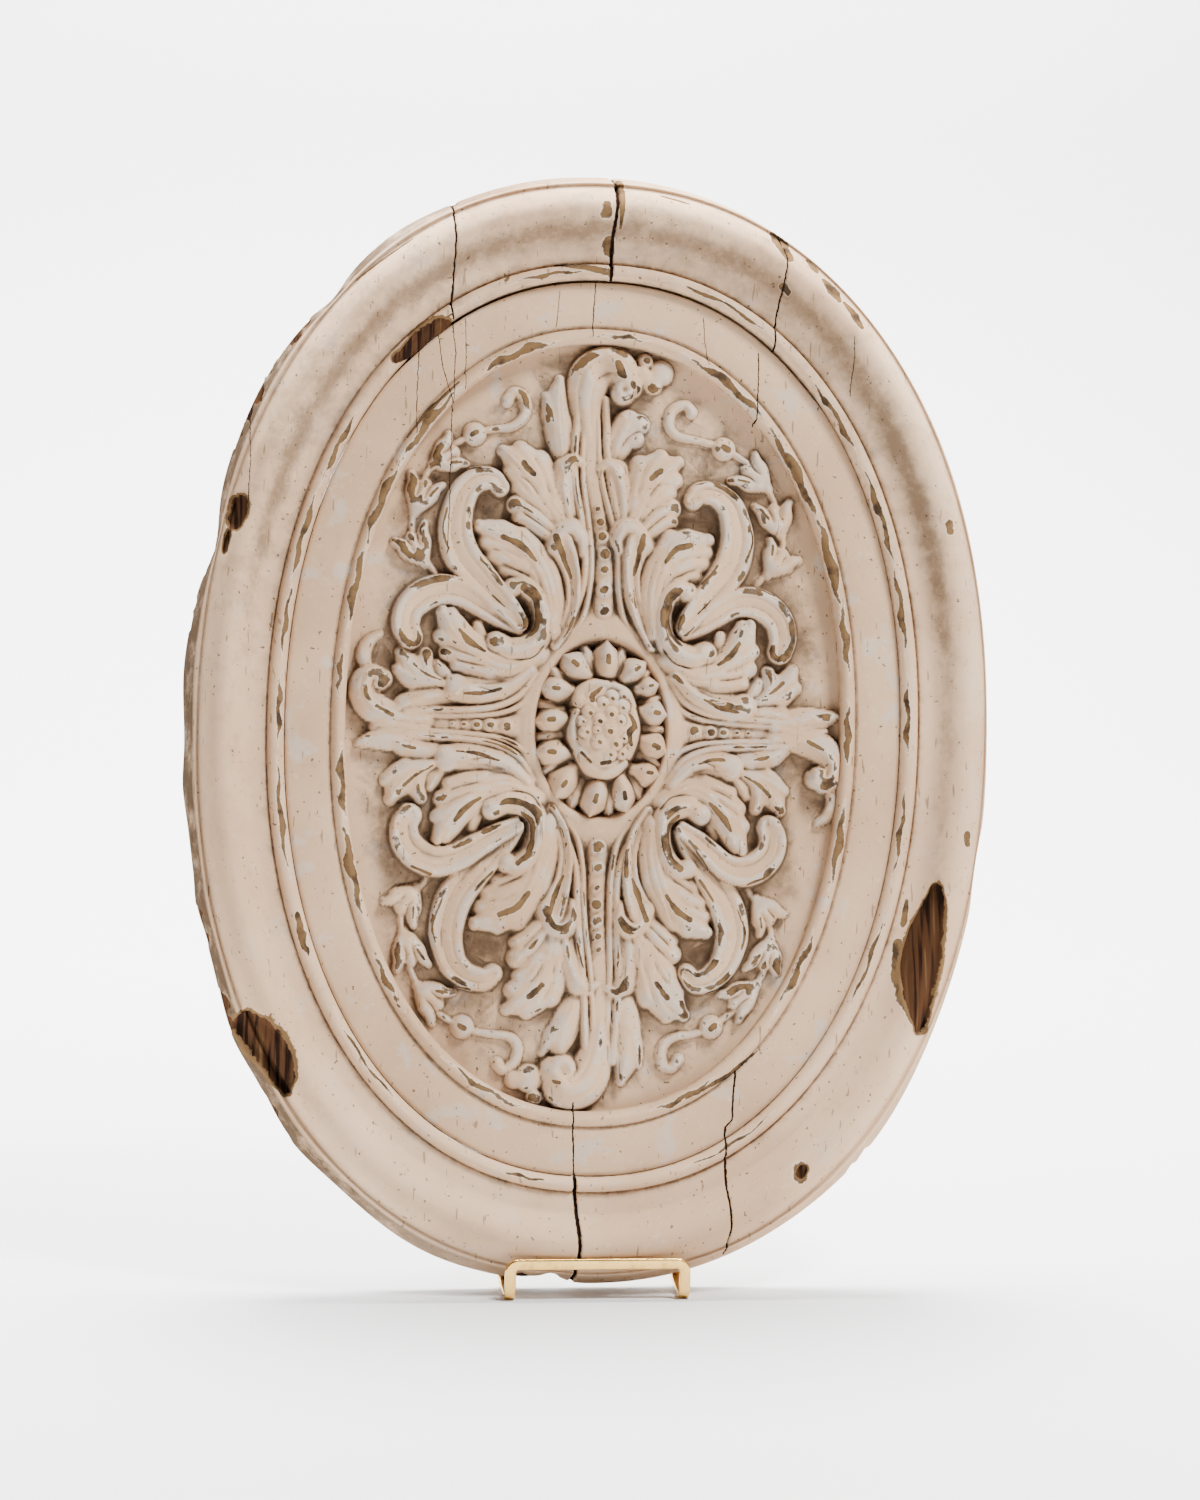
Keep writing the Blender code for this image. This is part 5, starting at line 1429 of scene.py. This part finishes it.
def stand(brass):
    """Brass strip stand: front lip, two hooks, uprights, ties and a rear prop."""
    lines = [side_strip(side) for side in (-1, 1)]
    front = lines[0][0][0]
    reach = LIP_HALF_SPAN - LIP_CORNER
    path = []
    sides = []
    for y, z in lines[0][::-1]:
        path.append((-LIP_HALF_SPAN, y, z))
        sides.append((1, 0, 0))
    for middle, start, stop in ((-reach, 180, 90), (reach, 90, 0)):
        for x, z in arc((middle, LIP_MIDDLE - LIP_CORNER), LIP_CORNER, start, stop, 11):
            path.append((x, front, z))
            turn = math.atan2(z - LIP_MIDDLE + LIP_CORNER, x - middle)
            sides.append((-math.cos(turn), 0, -math.sin(turn)))
    for y, z in lines[1]:
        path.append((LIP_HALF_SPAN, y, z))
        sides.append((-1, 0, 0))
    keep = [i for i in range(len(path)) if i == 0 or math.dist(path[i], path[i - 1]) > 0.05]
    parts = [strip([path[i] for i in keep], [sides[i] for i in keep])]
    top = lines[0][-1][0]
    half = STRIP_THICK / 2
    for side in (-1, 1):
        prop = [
            (top - 0.3, UPRIGHT_TOP - 5),
            (top + 6, UPRIGHT_TOP - 8),
            (FOOT_REACH - 4, half + 6),
            (FOOT_REACH, half),
            (FOOT_REACH + 10, half),
        ]
        x = side * (LIP_HALF_SPAN - 0.2)
        parts.append(strip([(x, y, z) for y, z in prop], (1, 0, 0), STRIP_WIDTH - 0.6))
    span = LIP_HALF_SPAN - 0.1
    slope = math.tan(math.radians(LEAN_DEGREES))
    clear = lines[0][-2][0] - lines[0][-2][1] * slope
    for height in TIES:
        y = clear + height * slope
        parts.append(strip([(-span, y, height), (span, y, height)], (0, 0, 1), thick=STRIP_THICK - 0.4))
    foot = FOOT_REACH + 5
    bar = [(-span, foot, half - 0.1), (span, foot, half - 0.1)]
    parts.append(strip(bar, (0, 1, 0), thick=STRIP_THICK - 0.2))
    points = []
    faces = []
    for part_points, part_faces in parts:
        start = len(points)
        points += part_points
        faces += [tuple(start + i for i in face) for face in part_faces]
    made = add_piece("brass_stand", (np.array(points) + STAND_SHIFT) * MM, faces, brass)
    made.data.set_sharp_from_angle(angle=math.radians(40))
    return made


# Materials


class Paint:
    """Node material built step by step."""

    def __init__(self, name):
        self.material = bpy.data.materials.new(name)
        self.material.use_nodes = True
        self.tree = self.material.node_tree
        self.shader = self.tree.nodes["Principled BSDF"]
        self.place = self.add("ShaderNodeTexCoord").outputs["Object"]

    def add(self, kind, **settings):
        node = self.tree.nodes.new(kind)
        for name, value in settings.items():
            setattr(node, name, value)
        return node

    def feed(self, socket, value):
        if isinstance(value, bpy.types.NodeSocket):
            self.tree.links.new(value, socket)
        elif isinstance(value, tuple) and len(value) == 3 and len(socket.default_value) == 4:
            socket.default_value = (*value, 1.0)
        else:
            socket.default_value = value

    def noise(self, scale, detail=3.0, stretch=None, roughness=0.55):
        node = self.add("ShaderNodeTexNoise")
        self.feed(node.inputs["Scale"], scale)
        self.feed(node.inputs["Detail"], detail)
        self.feed(node.inputs["Roughness"], roughness)
        if stretch:
            mapping = self.add("ShaderNodeMapping")
            self.feed(mapping.inputs["Vector"], self.place)
            self.feed(mapping.inputs["Scale"], stretch)
            self.feed(node.inputs["Vector"], mapping.outputs["Vector"])
        else:
            self.feed(node.inputs["Vector"], self.place)
        return node.outputs["Fac"]

    def mark(self, name):
        return self.add("ShaderNodeAttribute", attribute_name=name).outputs["Fac"]

    def math(self, operation, first, second=0.0, third=0.0):
        node = self.add("ShaderNodeMath", operation=operation)
        for socket, value in zip(node.inputs, (first, second, third)):
            self.feed(socket, value)
        return node.outputs[0]

    def plus(self, value, extra, share):
        """The value with a share of the extra added to it."""
        return self.math("MULTIPLY_ADD", extra, share, value)

    def ramp(self, value, low, high):
        """0 below low, 1 above high."""
        node = self.add("ShaderNodeMapRange", interpolation_type="SMOOTHSTEP")
        self.feed(node.inputs["Value"], value)
        self.feed(node.inputs["From Min"], low)
        self.feed(node.inputs["From Max"], high)
        return node.outputs["Result"]

    def mix(self, share, first, second):
        node = self.add("ShaderNodeMix", data_type="RGBA")
        self.feed(node.inputs[0], share)
        self.feed(node.inputs[6], first)
        self.feed(node.inputs[7], second)
        return node.outputs[2]

    def coat(self, colour, over, where, strength):
        """The colour with another laid over it at the given strength, where the mark is 1."""
        return self.mix(self.math("MULTIPLY", where, strength), colour, over)

    def crack(self, line, half, jitter):
        """1 on the line through the points from top to bottom, in mm of the medallion's plane."""
        across, up = np.array(line, float)[::-1].T
        u_low, u_high = across.min() - 0.1, across.max() + 0.1
        share = self.add("ShaderNodeMapRange")
        self.feed(share.inputs["Value"], self.mark("plane_v"))
        self.feed(share.inputs["From Min"], up[0])
        self.feed(share.inputs["From Max"], up[-1])
        curve = self.add("ShaderNodeFloatCurve")
        points = curve.mapping.curves[0].points
        knots = list(zip((up - up[0]) / (up[-1] - up[0]), (across - u_low) / (u_high - u_low)))
        points[0].location = knots[0]
        points[1].location = knots[-1]
        for knot in knots[1:-1]:
            points.new(*knot)
        for point in points:
            point.handle_type = "VECTOR"
        curve.mapping.update()
        self.feed(curve.inputs["Value"], share.outputs["Result"])
        along_line = self.math("MULTIPLY_ADD", curve.outputs["Value"], u_high - u_low, u_low)
        gap = self.math("SUBTRACT", self.plus(self.mark("plane_u"), jitter, 2.0), along_line)
        inside = self.ramp(self.math("ABSOLUTE", gap), 1.5 * half, 0.5 * half)
        top = self.ramp(self.mark("plane_v"), up[-1] + 0.5, up[-1] - 0.5)
        foot = self.ramp(self.mark("plane_v"), up[0] - 0.5, up[0] + 0.5)
        return self.math("MULTIPLY", inside, self.math("MULTIPLY", top, foot))

    def bump(self, height, strength, distance):
        node = self.add("ShaderNodeBump")
        self.feed(node.inputs["Height"], height)
        self.feed(node.inputs["Strength"], strength)
        self.feed(node.inputs["Distance"], distance)
        self.feed(self.shader.inputs["Normal"], node.outputs["Normal"])


def lost_paint(p, colour, jitter, blotches):
    """Paint rubbed, chipped and worn away, with a pale and a dark rim, and where it's gone."""
    rubbed = p.plus(p.math("MULTIPLY", p.mark("crest"), 0.75), p.noise(46.0, 2.5), 1.6)
    rubbed = p.plus(rubbed, jitter, 0.3)
    worn = p.plus(p.plus(p.mark("worn"), blotches, 1.1), jitter, 0.5)
    streaks = p.plus(p.mark("streak"), jitter, 0.55)
    pale_rim = 0.0
    dark_rim = 0.0
    lost = 0.0
    for value, start, width in ((rubbed, 1.66, 0.10), (worn, 0.7, 0.16), (streaks, 0.6, 0.2)):
        pale_rim = p.math("MAXIMUM", p.ramp(value, start - 1.2 * width, start - 0.5 * width), pale_rim)
        dark_rim = p.math("MAXIMUM", p.ramp(value, start - 0.5 * width, start), dark_rim)
        lost = p.math("MAXIMUM", p.ramp(value, start, start + 0.6 * width), lost)
    colour = p.coat(colour, PALE, pale_rim, 0.42)
    colour = p.coat(colour, GLAZE_AND_SHADE, dark_rim, 0.85)
    under = p.mix(p.ramp(p.noise(90.0, 3.0), 0.44, 0.66), TAN, BROWN)
    return p.mix(lost, colour, under), lost


def broken_side(p, colour, jitter, blotches):
    """Soil and painted shade on the moulding's side, darker to the left, bare wood where it is broken,
    and where the paint is gone.
    """
    soil_and_shade = p.math("MULTIPLY", p.mark("side"), p.ramp(p.noise(45.0, 5.0, roughness=0.7), 0.15, 0.55))
    colour = p.coat(colour, SOIL_AND_SHADE, soil_and_shade, 0.92)
    broken = p.plus(p.plus(p.mark("bare"), jitter, 0.35), blotches, 0.5)
    grain = p.noise(30.0, 1.5, stretch=(14.0, 0.6, 0.6))
    wood = p.mix(p.ramp(grain, 0.36, 0.52), DARK, WOOD)
    wood = p.mix(p.ramp(grain, 0.62, 0.8), wood, TAN)
    gone = p.ramp(broken, 0.2, 0.26)
    colour = p.mix(gone, colour, TAN)
    return p.mix(p.ramp(broken, 0.42, 0.47), colour, wood), gone


def aged_paint(name, tones, cracks=(), moulding=False):
    """Cream paint over gesso and wood, brown glaze and painted shade in the hollows, and rubbed on the
    crests.
    """
    p = Paint(name)
    fine = p.noise(260.0, 4.0, roughness=0.65)
    jitter = p.math("SUBTRACT", fine, 0.5)
    blotches = p.math("SUBTRACT", p.noise(75.0, 4.0), 0.5)

    # two tones of cream, chalky patches and pale grains
    colour = p.mix(p.ramp(p.noise(9.0, 3.0), 0.35, 0.68), *tones)
    chalky = p.plus(p.noise(48.0, 4.0), p.mark("crest"), 0.2)
    colour = p.coat(colour, COOL, p.ramp(chalky, 0.57, 0.69), 0.15 if moulding else 0.42)
    colour = p.coat(colour, PALE, p.ramp(fine, 0.55, 0.8), 0.35)

    # grime, glaze and painted shade in the hollows
    grime = p.plus(p.plus(p.mark("grime"), jitter, 0.6), blotches, 0.9)
    colour = p.coat(colour, GRIME_AND_SHADE, p.ramp(grime, 0.05, 0.85), 0.78)
    glaze_and_shade_mask = p.plus(p.mark("cavity"), jitter, 0.9)
    colour = p.coat(colour, GLAZE_AND_SHADE, p.ramp(glaze_and_shade_mask, 0.3, 1.15), 0.64)

    # lost paint, specks and scratches
    colour, lost = lost_paint(p, colour, jitter, blotches)
    colour = p.coat(colour, BROWN, p.ramp(p.noise(330.0, 1.0), 0.725, 0.745), 0.75)
    scratches = p.ramp(p.noise(150.0, 1.5, stretch=(2.6, 1.0, 0.35)), 0.70, 0.725)
    colour = p.coat(colour, GRIME_AND_SHADE, scratches, 0.6)
    if moulding:
        colour, gone = broken_side(p, colour, jitter, blotches)
        lost = p.math("MAXIMUM", lost, gone)

    # cracks, and painted shade in pits, grooves, the pocket and under the flower, then the plain wood of
    # the back
    cracks_and_shade = p.mark("dark")
    for line, half, _ in cracks:
        cracks_and_shade = p.math("MAXIMUM", cracks_and_shade, p.crack(line, half, jitter))
    colour = p.mix(p.ramp(cracks_and_shade, 0.25, 0.7), colour, DARK)
    plank = p.mix(p.noise(22.0, 4.0, stretch=(9.0, 0.6, 0.6)), BACK_WOOD, BACK_GRAIN)
    colour = p.mix(p.ramp(p.mark("back"), 0.4, 0.6), colour, plank)
    p.feed(p.shader.inputs["Base Color"], colour)
    p.feed(p.shader.inputs["Roughness"], 0.75)
    p.feed(p.shader.inputs["Specular IOR Level"], 0.0)
    relief = p.plus(p.math("MULTIPLY", fine, 0.5), p.noise(900.0, 2.0), 0.25)
    relief = p.plus(p.plus(relief, lost, -0.8), cracks_and_shade, -1.5)
    p.bump(relief, 0.6, 0.0007)
    return p.material


def polished_brass():
    """Yellow brass with duller patches."""
    p = Paint("polished_brass")
    p.feed(p.shader.inputs["Metallic"], 1.0)
    dull = p.ramp(p.noise(120.0, 4.0), 0.45, 0.75)
    p.feed(p.shader.inputs["Base Color"], p.mix(dull, BRASS, DULL_BRASS))
    p.feed(p.shader.inputs["Roughness"], p.math("MULTIPLY_ADD", p.noise(300.0, 3.0), 0.14, 0.16))
    p.bump(p.noise(500.0, 2.0), 0.12, 0.0002)
    return p.material


def plain(name, colour, roughness):
    """One even, dull colour."""
    p = Paint(name)
    tone = p.mix(p.noise(3.0, 1.0), colour, tuple(0.985 * c for c in colour))
    p.feed(p.shader.inputs["Base Color"], tone)
    p.feed(p.shader.inputs["Roughness"], roughness)
    return p.material


# Studio


def studio():
    """Pale floor that sweeps up behind, soft light and a dim white surround."""
    profile = [(-3.0, 0.0), (1.2, 0.0)]
    profile += [(1.2 + y, z) for y, z in arc((0.0, 0.8), 0.8, -90, 0, 16)[1:]]
    profile += [(2.0, 4.0)]
    points = [(x, y, z) for x in (-4.0, 4.0) for y, z in profile]
    count = len(profile)
    faces = [(i, i + count, i + count + 1, i + 1) for i in range(count - 1)]
    floor = add_piece("studio_floor", np.array(points), faces, plain("pale_floor", FLOOR, 0.8))
    world = bpy.data.worlds.new("studio_world")
    bpy.context.scene.world = world
    world.use_nodes = True
    background = world.node_tree.nodes["Background"]
    background.inputs["Color"].default_value = SURROUND
    background.inputs["Strength"].default_value = SURROUND_STRENGTH
    for name, (place, size, power, faced) in LIGHTS.items():
        lamp = bpy.data.lights.new(name, "AREA")
        lamp.shape = "SQUARE"
        lamp.size = size
        lamp.energy = power
        holder = bpy.data.objects.new(name, lamp)
        holder.location = place
        toward = Vector(faced) - Vector(place)
        holder.rotation_euler = toward.to_track_quat("-Z", "Y").to_euler()
        bpy.context.scene.collection.objects.link(holder)


def camera():
    """Long lens a little to the left of and above the middle of the medallion."""
    middle = Vector(MEDALLION_MIDDLE) * MM
    turn = math.radians(CAMERA_TURN)
    rise = math.radians(CAMERA_RISE)
    away = Vector((math.sin(turn) * math.cos(rise), -math.cos(turn) * math.cos(rise), math.sin(rise)))
    roll = Matrix.Rotation(math.radians(CAMERA_ROLL), 3, "Z")
    facing = (-away).to_track_quat("-Z", "Y").to_matrix() @ roll
    place = middle + away * CAMERA_FAR
    right = (IMAGE_SIZE[0] / 2 - MIDDLE_AT[0]) / PIXELS_PER_METRE
    down = (IMAGE_SIZE[1] / 2 - MIDDLE_AT[1]) / PIXELS_PER_METRE
    target = middle + facing @ Vector((right, -down, 0.0))
    facing = (target - place).to_track_quat("-Z", "Y").to_matrix() @ roll
    data = bpy.data.cameras.new("camera")
    data.sensor_fit = "VERTICAL"
    data.sensor_height = 24.0
    data.lens = data.sensor_height * CAMERA_FAR * PIXELS_PER_METRE / IMAGE_SIZE[1]
    made = bpy.data.objects.new("camera", data)
    made.location = place
    made.rotation_euler = facing.to_euler()
    bpy.context.scene.collection.objects.link(made)
    bpy.context.scene.camera = made


def main():
    moulding_paint = aged_paint("aged_paint_moulding", MOULDING_TONES, FRAME_CRACKS, moulding=True)
    panel_paint = aged_paint("aged_paint_panel", CARVING_TONES, PANEL_CRACKS)
    flower_paint = aged_paint("aged_paint_flower", CARVING_TONES)
    pieces = (
        (frame_moulding(moulding_paint), "frame_moulding", "frame_paint"),
        (panel(panel_paint), "carved_panel", "panel_paint"),
        (flower(flower_paint), "rosette", "rosette_paint"),
    )
    for piece, node, slot in pieces:
        piece.data.transform(world_matrix())
        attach(piece, "root")
        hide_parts(node)
    brass_stand = stand(polished_brass())
    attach(brass_stand, "root")
    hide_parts("display_stand")
    studio()
    camera()


main()
bpy.context.view_layer.update()
